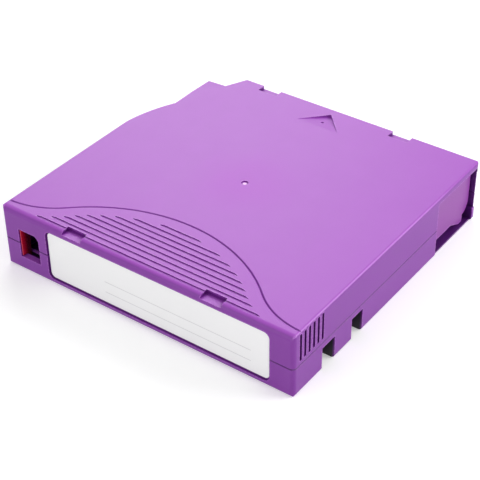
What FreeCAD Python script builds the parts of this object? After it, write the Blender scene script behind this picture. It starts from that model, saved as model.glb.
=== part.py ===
"""Half-inch single-reel data tape cartridge, as a parametric assembly.

Frame: origin at the middle of the bottom face, +X to the door side, +Y towards the edge that
goes into a drive first, +Z up. Millimetres. The spine with the label is the -Y side.
"""
import FreeCAD, Part
import math
import os
import re
import Sketcher

from FreeCAD import Vector

# name: (value, what it is)
SIZES = {
    # casing
    "width": (105.4, "overall, side to side"),
    "depth": (102.0, "overall, spine to front"),
    "height": (21.5, "overall"),
    "parting": (10.0, "height of the joint between the shells"),
    "seam_bevel": (0.25, "bevel of each shell along their joint"),
    "side_wall": (1.5, "side and front walls"),
    "spine_wall": (2.0, "wall behind the label"),
    "floor_plate": (1.8, "bottom plate"),
    "top_plate": (1.9, "top plate"),
    "corner_round": (1.4, "upright corners at the spine"),
    "front_round": (1.0, "upright corner at the front right"),
    "edge_round": (0.8, "top edges of the sides"),
    "foot_round": (1.2, "bottom edges"),
    "spine_round": (1.8, "top edge of the spine"),
    "gap": (0.3, "running clearance between loose pieces"),
    "fit": (0.05, "clearance of a close fit"),
    "bury": (0.1, "how far a rib or post runs into what carries it"),
    "past": (1.0, "how far a cut runs past the face that it opens"),
    # stepped corner at the front left
    "step_in": (6.3, "stepped side, in from the left side"),
    "step_back": (7.6, "stepped front, back from the front"),
    "ramp_in": (13.3, "foot of the ramp back to the front, in from the left side"),
    "ramp_run": (3.6, "width of the ramp"),
    "facet_side": (8.7, "corner facet, along the stepped side"),
    "facet_front": (6.2, "corner facet, along the stepped front"),
    "facet_fall": (0.3, "drop of the facet at its corner"),
    # label and spine
    "recess_left": (17.2, "label recess, in from the left side"),
    "recess_right": (7.9, "label recess, in from the right side"),
    "recess_low": (1.8, "lower edge of the label recess"),
    "recess_drop": (2.5, "upper edge of the label recess, below the top"),
    "recess_depth": (0.75, "depth of the label recess"),
    "recess_round": (2.0, "corners of the label recess"),
    "label_margin": (0.45, "bare edge around the label"),
    "label_sheet": (0.2, "thickness of the label"),
    # write-protect window and switch
    "window_in": (6.1, "switch window, in from the left side"),
    "window_width": (7.9, "switch window, across"),
    "window_low": (5.0, "lower edge of the switch window"),
    "window_high": (15.0, "upper edge of the switch window"),
    "window_clip": (1.3, "clipped corner of the switch window"),
    "switch_hidden": (3.4, "switch, hidden beside the window"),
    "switch_shown": (0.9, "switch, showing in the window"),
    "switch_lap": (1.4, "switch, past the window above and below"),
    "switch_thick": (1.2, "switch, behind the wall"),
    "switch_travel": (3.0, "travel of the switch"),
    "catch_tip": (0.3, "switch's catch at its outer end, across"),
    "catch_root": (0.6, "switch's catch at its root, across"),
    "rail_wall": (1.2, "rails behind the switch"),
    "rail_lap": (1.1, "overlap of the rails and the switch"),
    "rail_past": (1.5, "rails, beyond the end of the switch's travel"),
    # top surface
    "finger_place": (25.2, "middle of each finger pocket from the middle line"),
    "finger_width": (7.1, "width of a finger pocket"),
    "finger_reach": (3.3, "finger pocket, in from the edge"),
    "finger_depth": (1.2, "depth of a finger pocket"),
    "stripe_back": (2.1, "stripe nearest the spine, in from the spine"),
    "stripe_pitch": (2.16, "from one stripe to the next"),
    "stripe_width": (0.9, "width of a stripe"),
    "stripe_depth": (0.3, "depth of a stripe"),
    "wave_back": (3.4, "wave line at the sides, in from the spine"),
    "wave_reach": (24.0, "wave line on the middle line, in from the spine"),
    "wave_round": (52.0, "radius of the wave's crest"),
    "wave_groove": (0.35, "depth of the groove that draws the wave, and half its width"),
    "stripe_inset": (4.0, "bare strip between the wave and the stripes"),
    "stripe_tip": (1.4, "length of a stripe's pointed end"),
    "arrow_back": (2.9, "tip of the insertion arrow, in from the front"),
    "arrow_long": (8.45, "length of the insertion arrow"),
    "arrow_width": (15.8, "width of the insertion arrow"),
    "arrow_depth": (0.9, "depth of the insertion arrow at its tip"),
    "dot_back": (8.0, "dot in the arrow, in from the front"),
    "dot_radius": (0.5, "dot in the arrow"),
    "dot_depth": (0.75, "dot in the arrow, below the top"),
    "gate_radius": (1.1, "dimple at the moulding gate"),
    "gate_depth": (0.35, "depth of the gate dimple"),
    # grips on the two sides
    "rib_first": (3.2, "grip groove nearest the spine, in from the spine"),
    "rib_pitch": (2.13, "from one grip groove to the next"),
    "rib_width": (1.0, "width of a grip groove"),
    "rib_depth": (0.55, "depth of a grip groove"),
    "rib_low": (11.6, "lower end of the grip grooves"),
    "notch_rear_place": (17.1, "middle of the rear grip notch, from the spine"),
    "notch_rear_width": (6.4, "width of the rear grip notch"),
    "notch_fore_place": (31.9, "middle of the forward grip notch, from the spine"),
    "notch_fore_width": (5.7, "width of the forward grip notch"),
    "notch_high": (8.1, "height of the grip notches"),
    "notch_deep": (4.5, "depth of the grip notches"),
    "notch_wall": (1.1, "wall round a grip notch"),
    "lining_short": (0.2, "lining of a grip notch, short of the outer face"),
    # fixing screws
    "boss_radius": (2.8, "screw bosses"),
    "boss_rear_in": (15.2, "rear bosses, in from the sides"),
    "boss_rear_back": (8.5, "rear bosses, in from the spine"),
    "boss_right_in": (18.7, "front right boss, in from the right side"),
    "boss_right_back": (4.8, "front right boss, in from the front"),
    "boss_left_in": (13.1, "front left boss, in from the left side"),
    "boss_left_back": (13.4, "front left boss, in from the front"),
    "screw_radius": (1.1, "shank of a case screw"),
    "screw_reach": (15.0, "height of the screw's tip"),
    "head_radius": (2.1, "head of a case screw"),
    "head_low": (1.2, "underside of the screw heads"),
    "head_seat": (3.0, "seat of the screw heads"),
    "driver_radius": (0.9, "recess for the screwdriver"),
    "driver_depth": (0.8, "recess for the screwdriver"),
    # reel
    "reel_room": (0.5, "space round the reel at its closest wall"),
    "flange_thick": (1.0, "both reel flanges"),
    "flange_show": (2.0, "flanges, beyond the wound tape"),
    "tape_width": (12.65, "width of the tape"),
    "hub_radius": (22.5, "radius that the tape winds on"),
    "hub_wall": (2.0, "wall of the hub"),
    "spigot_wall": (1.0, "rim that centres the upper flange"),
    "hub_floor_rise": (1.175, "hub's floor above the underside of the flange"),
    "drive_ring": (4.0, "ring of drive teeth, along the radius"),
    "drive_tip": (0.9, "tips of the drive teeth"),
    "drive_tall": (1.2, "height of the drive teeth"),
    "drive_step": (0.3, "hub's floor above the roots of the drive teeth"),
    "drive_land": (0.32, "floor between two drive teeth at their inner ends"),
    "drive_tip_half": (0.2, "half the thickness of a drive tooth at its tip"),
    "teeth": (60, "teeth in each ring"),
    "tooth_inset": (0.15, "ends of every tooth, in from the edges of its ring"),
    "lock_ring": (1.9, "length of the lock's teeth along the radius"),
    "lock_tall": (1.1, "height of the lock's teeth"),
    "lock_play": (0.18, "play between the lock's teeth at their inner ends"),
    "lock_tip_half": (0.2, "half the thickness of a lock tooth at its tip"),
    "opening_room": (0.7, "opening in the lower shell, round the drive teeth"),
    "collar_wall": (1.8, "collar round the opening"),
    "plate_room": (0.4, "steel plate, inside the ring of drive teeth"),
    "plate_inner": (5.0, "steel plate, hole"),
    "plate_thick": (1.0, "steel plate"),
    # reel lock
    "lock_travel": (2.0, "lift of the brake and the release pad"),
    "pad_thick": (1.3, "release pad"),
    "pad_radius": (9.0, "middle of the release pad"),
    "legs": (3, "legs of the release pad"),
    "arm_width": (4.0, "arms and legs of the release pad"),
    "leg_clear": (1.0, "legs of the release pad, inside the lock's teeth"),
    "leg_long": (3.4, "legs of the release pad, along the radius"),
    "leg_short": (0.2, "feet of the release pad, above the tips of the drive teeth"),
    "leg_room": (0.4, "clearance of a leg in its slot, at each side"),
    "slot_room": (0.2, "leg slots, past the ring of drive teeth"),
    "web_rise": (4.2, "upper face of the brake's web, above the hub's floor"),
    "web_thick": (1.2, "brake's web"),
    "brake_boss": (4.0, "boss that meets the release pad"),
    "socket_radius": (4.6, "socket on top of the brake"),
    "socket_tall": (5.0, "socket on top of the brake"),
    "key_length": (5.8, "cross key that stops the brake from turning"),
    "key_thick": (1.2, "ribs of the cross key"),
    "key_lap": (2.2, "cross key, inside the socket"),
    "coil_radius": (6.4, "brake spring, to the middle of the wire"),
    "coil_wire": (0.8, "brake spring, thickness of the wire"),
    "coil_turns": (4, "turns of the brake spring"),
    "seat_wall": (1.0, "ring that centres the brake spring"),
    "seat_fall": (1.2, "height of that ring"),
    # door
    "port_back": (25.0, "rear edge of the door opening, from the front"),
    "post_thick": (0.5, "front wall beside the door opening"),
    "post_setback": (0.4, "front wall's end, in from the side"),
    "post_lap": (0.4, "front wall thins this far inside the door"),
    "post_foot": (4.7, "height of the front wall's full-width foot"),
    "post_drop": (3.5, "front wall is full width again, below the top"),
    "ledge_high": (0.7, "ledge of the lower shell under the door"),
    "ledge_in": (0.7, "edge of that ledge, in from the side"),
    "door_in": (0.2, "door's face, inside the side wall"),
    "door_thick": (1.4, "door plate"),
    "door_back": (31.5, "rear end of the door, from the front"),
    "door_short": (1.3, "nose of the door, from the front"),
    "door_rise": (2.1, "lower edge of the door's face, above the bottom plate"),
    "door_skirt": (0.6, "thin skirt along the door's lower edge"),
    "nose_bend": (8.0, "height where the nose starts to curve back"),
    "nose_curve": (4.8, "radius of that curve"),
    "nose_ease": (0.6, "outer edge of the nose"),
    "foot_back": (3.9, "front of the door's foot, from its nose"),
    "foot_flat": (2.0, "sole of the door's foot"),
    "foot_slope": (5.6, "slope up to the rear of the door's foot"),
    "foot_room": (0.6, "door's foot, above the ledge"),
    "door_travel": (19.5, "travel of the door"),
    "sill_rise": (0.3, "sill under the door opening, above the bottom plate"),
    "guide_rib": (0.8, "ribs inside the door, across"),
    "guide_rise": (0.9, "ribs inside the door, height"),
    "guide_back": (12.0, "ribs inside the door, behind the door's rear end"),
    "hook_back": (3.5, "hook for the spring, from the door's nose"),
    "hook_long": (1.2, "hook, along the door"),
    "hook_reach": (0.7, "hook, in from the door"),
    "hook_low": (0.5, "hook, below the spring's lower end"),
    "hook_high": (4.5, "hook, above the spring's lower end"),
    # leader pin and its tape
    "pin_in": (8.2, "leader pin, in from the right side"),
    "pin_back": (10.5, "leader pin, in from the front"),
    "pin_radius": (1.2, "shaft of the leader pin"),
    "pin_stub": (1.6, "ends of the leader pin"),
    "pin_flange": (2.6, "flanges of the leader pin"),
    "pin_flange_thick": (1.0, "flanges of the leader pin"),
    "pin_lift": (0.4, "lower end of the leader pin, above the bottom plate"),
    "clip_wall": (0.6, "clip round the leader pin"),
    "clip_mouth": (0.84, "half the mouth of that clip"),
    "leader_thick": (0.2, "free stretch of tape"),
    "hairpin_wire": (0.7, "wire of the pin's holding springs"),
    "hairpin_length": (4.5, "holding springs, from the pin to the post"),
    "hairpin_post": (1.5, "posts that carry the holding springs"),
    "hairpin_inset": (0.2, "holding springs, in from the ends of the pin"),
    # door spring
    "twist_in": (3.6, "door spring, in from the door"),
    "twist_back": (18.0, "door spring, from the front"),
    "twist_rise": (3.7, "lower end of the door spring, above the bottom plate"),
    "twist_radius": (1.9, "door spring, to the middle of the wire"),
    "twist_wire": (0.5, "door spring, thickness of the wire"),
    "twist_pitch": (0.7, "door spring, from one turn to the next"),
    "twist_turns": (3, "turns of the door spring"),
    "twist_lean": (3.3, "turn of the door spring's arms towards the door"),
    "twist_arm": (12.4, "arm of the door spring that bears on the hook"),
    "twist_stay": (6.0, "arm of the door spring that bears on the casing"),
    "twist_post": (1.3, "post that carries the door spring"),
    "twist_post_tall": (5.0, "that post, above the spring's lower end"),
    "stop_radius": (0.8, "post that the shorter arm bears on"),
    "stop_room": (0.35, "that post, from the spring's side"),
    "stop_back": (5.0, "that post, behind the spring"),
    "stop_tall": (1.5, "that post, above the spring's lower end"),
    # memory chip
    "chip_width": (9.0, "memory chip, across"),
    "chip_length": (6.6, "memory chip, up its slope"),
    "chip_thick": (0.8, "memory chip"),
    "chip_in": (11.1, "left edge of the memory chip, in from the right side"),
    "chip_tilt": (45, "slope of the memory chip"),
    "cradle_rib": (1.0, "ribs under the memory chip, across"),
    "cradle_inset": (1.0, "ribs under the memory chip, in from its ends"),
    "cradle_toe": (0.5, "ribs under the memory chip, past its foot"),
    "cradle_back": (0.8, "ribs under the memory chip, behind it"),
    # locating recesses underneath
    "locator_across": (26.5, "locating recesses from the middle line"),
    "locator_back": (6.0, "locating recesses, in from the front"),
    "locator_radius": (2.0, "locating recesses"),
    "locator_depth": (1.7, "locating recesses"),
    "locator_slot": (1.0, "half the extra length of the slotted one"),
    "locator_cup": (1.0, "wall of the cups over the recesses"),
    "locator_roof": (0.9, "cups over the recesses, above the bottom plate"),
}

SIDES = (("right", 1), ("left", -1))
STRIPE_ROWS = 9
GRIP_GROOVES = 6
GROOVE_CORNERS = 4
WIRE_CORNERS = 4

# heights of the reel, from the tape's middle outwards
TAPE_LOW = "(height / 2 - tape_width / 2)"
TAPE_HIGH = "(height / 2 + tape_width / 2)"
FLANGE_LOW = f"({TAPE_LOW} - gap - flange_thick)"
UPPER_LOW = f"({TAPE_HIGH} + gap)"
HUB_FLOOR = f"({FLANGE_LOW} + hub_floor_rise)"
DRIVE_ROOT = "(drive_tip + drive_tall)"
PLATE_SEAT = f"({DRIVE_ROOT} + drive_step)"

# radii of the reel, from the hub inwards, and of its flanges and tape
HUB_INNER = "(hub_radius - hub_wall)"
LOCK_OUTER = f"({HUB_INNER} - gap)"
LOCK_INNER = f"({LOCK_OUTER} - lock_ring)"
LEG_OUTER = f"({LOCK_INNER} - leg_clear)"
LEG_INNER = f"({LEG_OUTER} - leg_long)"
DRIVE_OUTER = f"({LEG_OUTER} + gap)"
DRIVE_INNER = f"({DRIVE_OUTER} - drive_ring)"
FLANGE_RADIUS = "(min(width / 2 - side_wall; depth / 2 - spine_wall) - reel_room)"
PACK_RADIUS = f"({FLANGE_RADIUS} - flange_show)"

# reel lock: the release pad lies on the hub's floor and the brake's teeth stand over it
PAD_LOW = f"({HUB_FLOOR} + gap)"
PAD_HIGH = f"({PAD_LOW} + pad_thick)"
BRAKE_TIP = f"({HUB_FLOOR} + gap)"
BRAKE_ROOT = f"({BRAKE_TIP} + lock_tall)"
WEB_HIGH = f"({HUB_FLOOR} + web_rise)"
SOCKET_HIGH = f"({WEB_HIGH} + socket_tall)"
KEY_LOW = f"({SOCKET_HIGH} - key_lap)"

# the switch runs between the spine wall and the rails behind it
WINDOW_LEFT = "(width / 2 - window_in)"
WINDOW_RIGHT = f"({WINDOW_LEFT} - window_width)"
SWITCH_FACE = "-(depth / 2 - spine_wall - gap)"
RAIL_FACE = f"{SWITCH_FACE} + switch_thick + gap"
SWITCH_RIGHT = f"-({WINDOW_LEFT} - switch_shown)"
SWITCH_LOW = "(window_low - switch_lap)"
SWITCH_HIGH = "(window_high + switch_lap)"

# the door stands inside the side wall and slides back along it
ROOF = "(height - top_plate)"
DOOR_FACE = "(width / 2 - side_wall - door_in)"
DOOR_INNER = f"({DOOR_FACE} - door_thick)"
POST_INNER = f"({DOOR_INNER} - post_lap)"
PORT_REAR = "(depth / 2 - port_back)"
DOOR_TAIL = "(depth / 2 - door_back)"
DOOR_NOSE = "(depth / 2 - door_short)"
DOOR_LOW = "(floor_plate + door_rise)"
FOOT_FRONT = f"({DOOR_NOSE} - foot_back)"
FOOT_REAR = f"({FOOT_FRONT} - foot_flat)"
SILL_HIGH = "(floor_plate + sill_rise)"
GUIDE_FACE = f"({DOOR_INNER} - gap)"
TWIST_X = f"({DOOR_INNER} - twist_in)"
TWIST_Y = "(depth / 2 - twist_back)"
TWIST_LOW = "(floor_plate + twist_rise)"

# leader pin
PIN_X = "(width / 2 - pin_in)"
PIN_Y = "(depth / 2 - pin_back)"
PIN_LOW = "(floor_plate + pin_lift)"
PIN_HIGH = f"({ROOF} - gap)"


def cells(text):
    """An expression with each size's name pointed at its cell in the sheet."""
    return re.sub(r"[a-z_]+", lambda m: "Sizes." + m.group() if m.group() in SIZES else m.group(), text)


def value(text):
    return float(SHEET.evalExpression(cells(text)))


def make_sheet(doc):
    sheet = doc.addObject("Spreadsheet::Sheet", "Sizes")
    for row, (name, (number, meaning)) in enumerate(SIZES.items(), start=1):
        sheet.set(f"A{row}", name)
        sheet.set(f"B{row}", str(number))
        sheet.set(f"C{row}", meaning)
        sheet.setAlias(f"B{row}", name)
    doc.recompute()
    return sheet


# ---------------------------------------------------------------- drawing

def new_body(name):
    body = DOC.addObject("PartDesign::Body", name)
    body.Label = name
    return body


def new_sketch(body, name, plane="XY_Plane", lift="0"):
    """A sketch on one of the body's own origin planes, moved along the plane's normal."""
    sketch = body.newObject("Sketcher::SketchObject", name)
    support = next(item for item in body.Origin.OriginFeatures if item.Role == plane)
    sketch.AttachmentSupport = [(support, "")]
    sketch.MapMode = "FlatFace"
    if lift:
        sketch.setExpression("AttachmentOffset.Base.z", cells(lift))
    return sketch


def bind(sketch, kind, places, text):
    """A dimension whose value is a sheet expression."""
    number = sketch.addConstraint(Sketcher.Constraint(kind, *places, value(text)))
    sketch.setExpression(f"Constraints[{number}]", cells(text))


def pin_point(sketch, geometry, end, x, y):
    bind(sketch, "DistanceX", (-1, 1, geometry, end), x)
    bind(sketch, "DistanceY", (-1, 1, geometry, end), y)


def draw_outline(sketch, points, arcs=None):
    """A closed outline through points; arcs gives the centre of each edge that is an arc."""
    arcs = arcs or {}
    spots = [Vector(value(x), value(y), 0) for x, y in points]
    count = len(points)
    first = sketch.GeometryCount
    for i in range(count):
        start, end = spots[i], spots[(i + 1) % count]
        if i in arcs:
            centre = Vector(value(arcs[i][0]), value(arcs[i][1]), 0)
            middle = centre + (start + end - centre * 2).normalize() * start.distanceToPoint(centre)
            sketch.addGeometry(Part.Arc(start, middle, end))
        else:
            sketch.addGeometry(Part.LineSegment(start, end))
    ends = [arc_ends(sketch, first + i, spots[i]) for i in range(count)]
    for i in range(count):
        following = (i + 1) % count
        sketch.addConstraint(
            Sketcher.Constraint("Coincident", first + i, ends[i][1], first + following, ends[following][0])
        )
        pin_point(sketch, first + i, ends[i][0], *points[i])
        if i in arcs:
            across, up = (f"({place} - ({centre}))" for place, centre in zip(points[i], arcs[i]))
            bind(sketch, "Radius", (first + i,), f"sqrt({across} ^ 2 + {up} ^ 2)")


def arc_ends(sketch, geometry, start):
    """Which end of an edge is its start: an arc always runs anticlockwise."""
    return (1, 2) if sketch.getPoint(geometry, 1).distanceToPoint(start) < 1e-6 else (2, 1)


def draw_box(sketch, left, right, low, high):
    draw_outline(sketch, [(left, low), (right, low), (right, high), (left, high)])


def draw_polygon(sketch, x, y, radius, corners):
    """A regular polygon with its first corner towards +x."""
    turns = [360 * i / corners for i in range(corners)]
    draw_outline(sketch, [
        (f"{x} + {radius} * cos({turn} deg)", f"{y} + {radius} * sin({turn} deg)") for turn in turns
    ])


def draw_circle(sketch, x, y, radius):
    number = sketch.addGeometry(Part.Circle(Vector(value(x), value(y), 0), Vector(0, 0, 1), value(radius)))
    if x == y == "0":
        sketch.addConstraint(Sketcher.Constraint("Coincident", number, 3, -1, 1))
    else:
        pin_point(sketch, number, 3, x, y)
    bind(sketch, "Radius", (number,), radius)


def draw_rounded(sketch, left, right, low, high, radius):
    """A box with four quarter-round corners."""
    spots = [(left, low, 180), (right, low, 270), (right, high, 0), (left, high, 90)]
    signs = [(1, 1), (-1, 1), (-1, -1), (1, -1)]
    r = value(radius)
    corners = []
    for (x, y, turn), (sx, sy) in zip(spots, signs):
        middle = Vector(value(x) + sx * r, value(y) + sy * r, 0)
        circle = Part.Circle(middle, Vector(0, 0, 1), r)
        start = math.radians(turn)
        corners.append(sketch.addGeometry(Part.ArcOfCircle(circle, start, start + math.pi / 2)))
    for here, following in zip(corners, corners[1:] + corners[:1]):
        line = sketch.addGeometry(Part.LineSegment(sketch.getPoint(here, 2), sketch.getPoint(following, 1)))
        sketch.addConstraint(Sketcher.Constraint("Tangent", here, 2, line, 1))
        sketch.addConstraint(Sketcher.Constraint("Tangent", line, 2, following, 1))
    for i, ((x, y, _), (sx, sy)) in enumerate(zip(spots, signs)):
        pin_point(sketch, corners[i], 3, f"({x}) + {sx} * ({radius})", f"({y}) + {sy} * ({radius})")
        bind(sketch, "Radius", (corners[i],), radius)


def raise_pad(body, sketch, length):
    """Material from the sketch along its normal."""
    pad = body.newObject("PartDesign::Pad", sketch.Name + "_pad")
    pad.Profile = sketch
    pad.setExpression("Length", cells(length))
    return pad


def sink_pocket(body, sketch, length):
    """Material taken away from the sketch along its normal."""
    pocket = body.newObject("PartDesign::Pocket", sketch.Name + "_pocket")
    pocket.Profile = sketch
    pocket.Reversed = True
    pocket.setExpression("Length", cells(length))
    return pocket


def add_block(body, name, x, y, z):
    """An upright block: each of x, y and z is its two limits."""
    sketch = new_sketch(body, name, lift=z[0])
    draw_box(sketch, *x, *y)
    return raise_pad(body, sketch, f"({z[1]}) - ({z[0]})")


def cut_block(body, name, x, y, z):
    sketch = new_sketch(body, name, lift=z[0])
    draw_box(sketch, *x, *y)
    return sink_pocket(body, sketch, f"({z[1]}) - ({z[0]})")


def add_post(body, name, x, y, radius, z):
    sketch = new_sketch(body, name, lift=z[0])
    draw_circle(sketch, x, y, radius)
    return raise_pad(body, sketch, f"({z[1]}) - ({z[0]})")


def cut_hole(body, name, x, y, radius, z):
    sketch = new_sketch(body, name, lift=z[0])
    draw_circle(sketch, x, y, radius)
    return sink_pocket(body, sketch, f"({z[1]}) - ({z[0]})")


def add_ring(body, name, inner, outer, z):
    sketch = new_sketch(body, name, lift=z[0])
    draw_circle(sketch, "0", "0", outer)
    draw_circle(sketch, "0", "0", inner)
    return raise_pad(body, sketch, f"({z[1]}) - ({z[0]})")


def revolve(body, name, points):
    """A full turn about Z of an outline given as radius and height."""
    sketch = new_sketch(body, name, "XZ_Plane")
    draw_outline(sketch, points)
    turned = body.newObject("PartDesign::Revolution", name + "_turned")
    turned.Profile = sketch
    turned.ReferenceAxis = (sketch, ["V_Axis"])
    turned.Angle = 360
    return turned


def coil(body, name, radius, low, wire, length, turns):
    """A coil of wire about Z, from +X at its lower end."""
    section = new_sketch(body, name + "_section", "XZ_Plane")
    draw_polygon(section, radius, low, wire, WIRE_CORNERS)
    helix = body.newObject("PartDesign::AdditiveHelix", name)
    helix.Profile = section
    helix.ReferenceAxis = (section, ["V_Axis"])
    helix.Mode = "height-turns-angle"
    helix.setExpression("Height", cells(length))
    helix.setExpression("Turns", cells(turns))
    return helix


def repeat_round(body, feature, name, count):
    """Copies of a feature all the way round Z."""
    DOC.recompute()
    pattern = body.newObject("PartDesign::PolarPattern", name)
    pattern.Originals = [feature]
    pattern.Axis = (next(item for item in body.Origin.OriginFeatures if item.Role == "Z_Axis"), [""])
    pattern.Angle = 360
    pattern.setExpression("Occurrences", cells(count))
    body.Tip = pattern
    return pattern


def repeat_along(body, feature, name, axis, step, count):
    """Copies of a feature in a row, a fixed step apart."""
    DOC.recompute()
    pattern = body.newObject("PartDesign::LinearPattern", name)
    pattern.Originals = [feature]
    pattern.Direction = (next(item for item in body.Origin.OriginFeatures if item.Role == axis), [""])
    pattern.Occurrences = count
    pattern.setExpression("Length", cells(f"({step}) * {count - 1}"))
    body.Tip = pattern
    return pattern


def treat_edges(body, kind, name, base, chosen, size):
    """A fillet or a chamfer of every edge of a feature that the test picks."""
    DOC.recompute()
    edges = [f"Edge{i}" for i, edge in enumerate(base.Shape.Edges, start=1) if chosen(edge)]
    treated = body.newObject(f"PartDesign::{kind}", name)
    treated.Base = (base, edges)
    treated.setExpression({"Fillet": "Radius", "Chamfer": "Size"}[kind], cells(size))
    return treated


# ---------------------------------------------------------------- casing

def casing_outline(inset, rear_inset):
    """Plan of the casing, with its stepped front left corner, drawn in by a wall."""
    side = f"width / 2 - {inset}"
    rear = f"-(depth / 2 - {rear_inset})"
    front = f"depth / 2 - {inset}"
    step = f"width / 2 - step_in - {inset}"
    foot = f"-(width / 2 - ramp_in) + {inset}"
    points = [
        (f"-({side})", rear),
        (side, rear),
        (side, front),
        (f"{foot} + ramp_run", front),
        (foot, f"depth / 2 - step_back - {inset}"),
        (f"-({step})", f"depth / 2 - step_back - {inset}"),
        (f"-({step})", f"sqrt(({side}) ^ 2 - ({step}) ^ 2)"),
        (f"-({side})", "0"),
    ]
    return points, {6: ("0", "0")}


def shell_block(body, z):
    """The outer form of a shell, bevelled where it meets the other."""
    sketch = new_sketch(body, body.Name + "_outline", lift=z[0])
    draw_outline(sketch, *casing_outline("0", "0"))
    block = raise_pad(body, sketch, f"({z[1]}) - ({z[0]})")
    at_spine = upright_at([("-width / 2", "-depth / 2"), ("width / 2", "-depth / 2")])
    at_front = upright_at([("width / 2", "depth / 2")])
    spine = treat_edges(body, "Fillet", body.Name + "_corners", block, at_spine, "corner_round")
    front = treat_edges(body, "Fillet", body.Name + "_front_corner", spine, at_front, "front_round")
    seam = value("parting")
    return treat_edges(body, "Chamfer", body.Name + "_seam", front,
                       lambda edge: edge.BoundBox.ZMin > seam - 1e-4 and edge.BoundBox.ZMax < seam + 1e-4,
                       "seam_bevel")


def upright_at(places):
    """A test for the upright edges at these places of the plan."""
    spots = [(value(x), value(y)) for x, y in places]

    def test(edge):
        box = edge.BoundBox
        near = any(math.hypot(box.XMin - x, box.YMin - y) < 1e-4 for x, y in spots)
        return near and box.XLength < 1e-4 and box.YLength < 1e-4

    return test


def hollow(body, z):
    sketch = new_sketch(body, body.Name + "_hollow", lift=z[0])
    draw_outline(sketch, *casing_outline("side_wall", "spine_wall"))
    return sink_pocket(body, sketch, f"({z[1]}) - ({z[0]})")


def boss_places():
    return {
        "rear_left": ("-(width / 2 - boss_rear_in)", "-(depth / 2 - boss_rear_back)"),
        "rear_right": ("width / 2 - boss_rear_in", "-(depth / 2 - boss_rear_back)"),
        "front_right": ("width / 2 - boss_right_in", "depth / 2 - boss_right_back"),
        "front_left": ("-(width / 2 - boss_left_in)", "depth / 2 - boss_left_back"),
    }


def label_recess(body):
    """Rounded recess in the spine; each shell takes the part that meets it."""
    sketch = new_sketch(body, body.Name + "_label", "XZ_Plane", "depth / 2 - recess_depth")
    draw_rounded(sketch, *label_edges("0"), "recess_round")
    return sink_pocket(body, sketch, "recess_depth + past")


def label_edges(margin):
    return (f"-(width / 2 - recess_left - {margin})", f"width / 2 - recess_right - {margin}",
            f"recess_low + {margin}", f"height - recess_drop - {margin}")


def switch_window(body):
    sketch = new_sketch(body, body.Name + "_window", "XZ_Plane", "depth / 2 - spine_wall - bury")
    draw_outline(sketch, [
        (f"-{WINDOW_LEFT}", "window_low"),
        (f"-{WINDOW_RIGHT}", "window_low"),
        (f"-{WINDOW_RIGHT}", "window_high - window_clip"),
        (f"-{WINDOW_RIGHT} - window_clip", "window_high"),
        (f"-{WINDOW_LEFT}", "window_high"),
    ])
    return sink_pocket(body, sketch, "spine_wall + bury + past")


def switch_rail(body, ledge, rail):
    """Rail behind the edge of the switch and the ledge that the edge rides on."""
    reach = ("-(width / 2 - side_wall + bury)", f"{SWITCH_RIGHT} + switch_travel + rail_past")
    add_block(body, body.Name + "_rail", reach, (RAIL_FACE, f"{RAIL_FACE} + rail_wall"), rail)
    add_block(body, body.Name + "_ledge", reach,
              ("-(depth / 2 - spine_wall + bury)", f"{RAIL_FACE} + bury"), ledge)


def door_port(body, port, post):
    """Opening at the door: the side wall is gone and the front wall is thin beside it."""
    outside = "width / 2 + past"
    cut_block(body, body.Name + "_port", (POST_INNER, outside), (PORT_REAR, "depth / 2 - post_thick"), port)
    cut_block(body, body.Name + "_post", ("width / 2 - post_setback", outside),
              ("depth / 2 - post_thick - bury", "depth / 2 + past"), post)


def guide_rib(body, front, z):
    """Rib that guides the inner face of the door."""
    return add_block(body, body.Name + "_guide", (f"{GUIDE_FACE} - guide_rib", GUIDE_FACE),
                     (f"{DOOR_TAIL} - guide_back", front), z)


def make_upper_shell():
    body = new_body("upper_shell")
    roof = f"{ROOF} + bury"
    shell_block(body, ("parting", "height"))
    hollow(body, ("parting", ROOF))
    for name, (x, y) in boss_places().items():
        add_post(body, f"upper_{name}_boss", x, y, "boss_radius", ("parting", roof))
        cut_hole(body, f"upper_{name}_bore", x, y, "screw_radius + fit", ("parting", "screw_reach + gap"))
    switch_rail(body, (f"{SWITCH_HIGH} + gap", roof), (f"{SWITCH_HIGH} - rail_lap", roof))
    switch_window(body)
    label_recess(body)
    # cross key and spring seat over the hub
    half, thin = "key_length / 2", "key_thick / 2"
    add_block(body, "key_across", (f"-{half}", half), (f"-{thin}", thin), (KEY_LOW, roof))
    add_block(body, "key_along", (f"-{thin}", thin), (f"-{half}", half), (KEY_LOW, roof))
    seat = "coil_radius + coil_wire / 2 + gap"
    add_ring(body, "spring_seat", seat, f"{seat} + seat_wall", (f"{ROOF} - seat_fall", roof))
    guide_rib(body, "depth / 2 - side_wall + bury", (f"{ROOF} - guide_rise", roof))
    add_post(body, "upper_hairpin_post", f"{PIN_X} - hairpin_length", PIN_Y, "hairpin_post",
             (f"{PIN_HIGH} - pin_stub", roof))
    door_port(body, ("parting - past", ROOF), ("parting - past", "height - post_drop"))
    mark_top(body)
    return body


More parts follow.
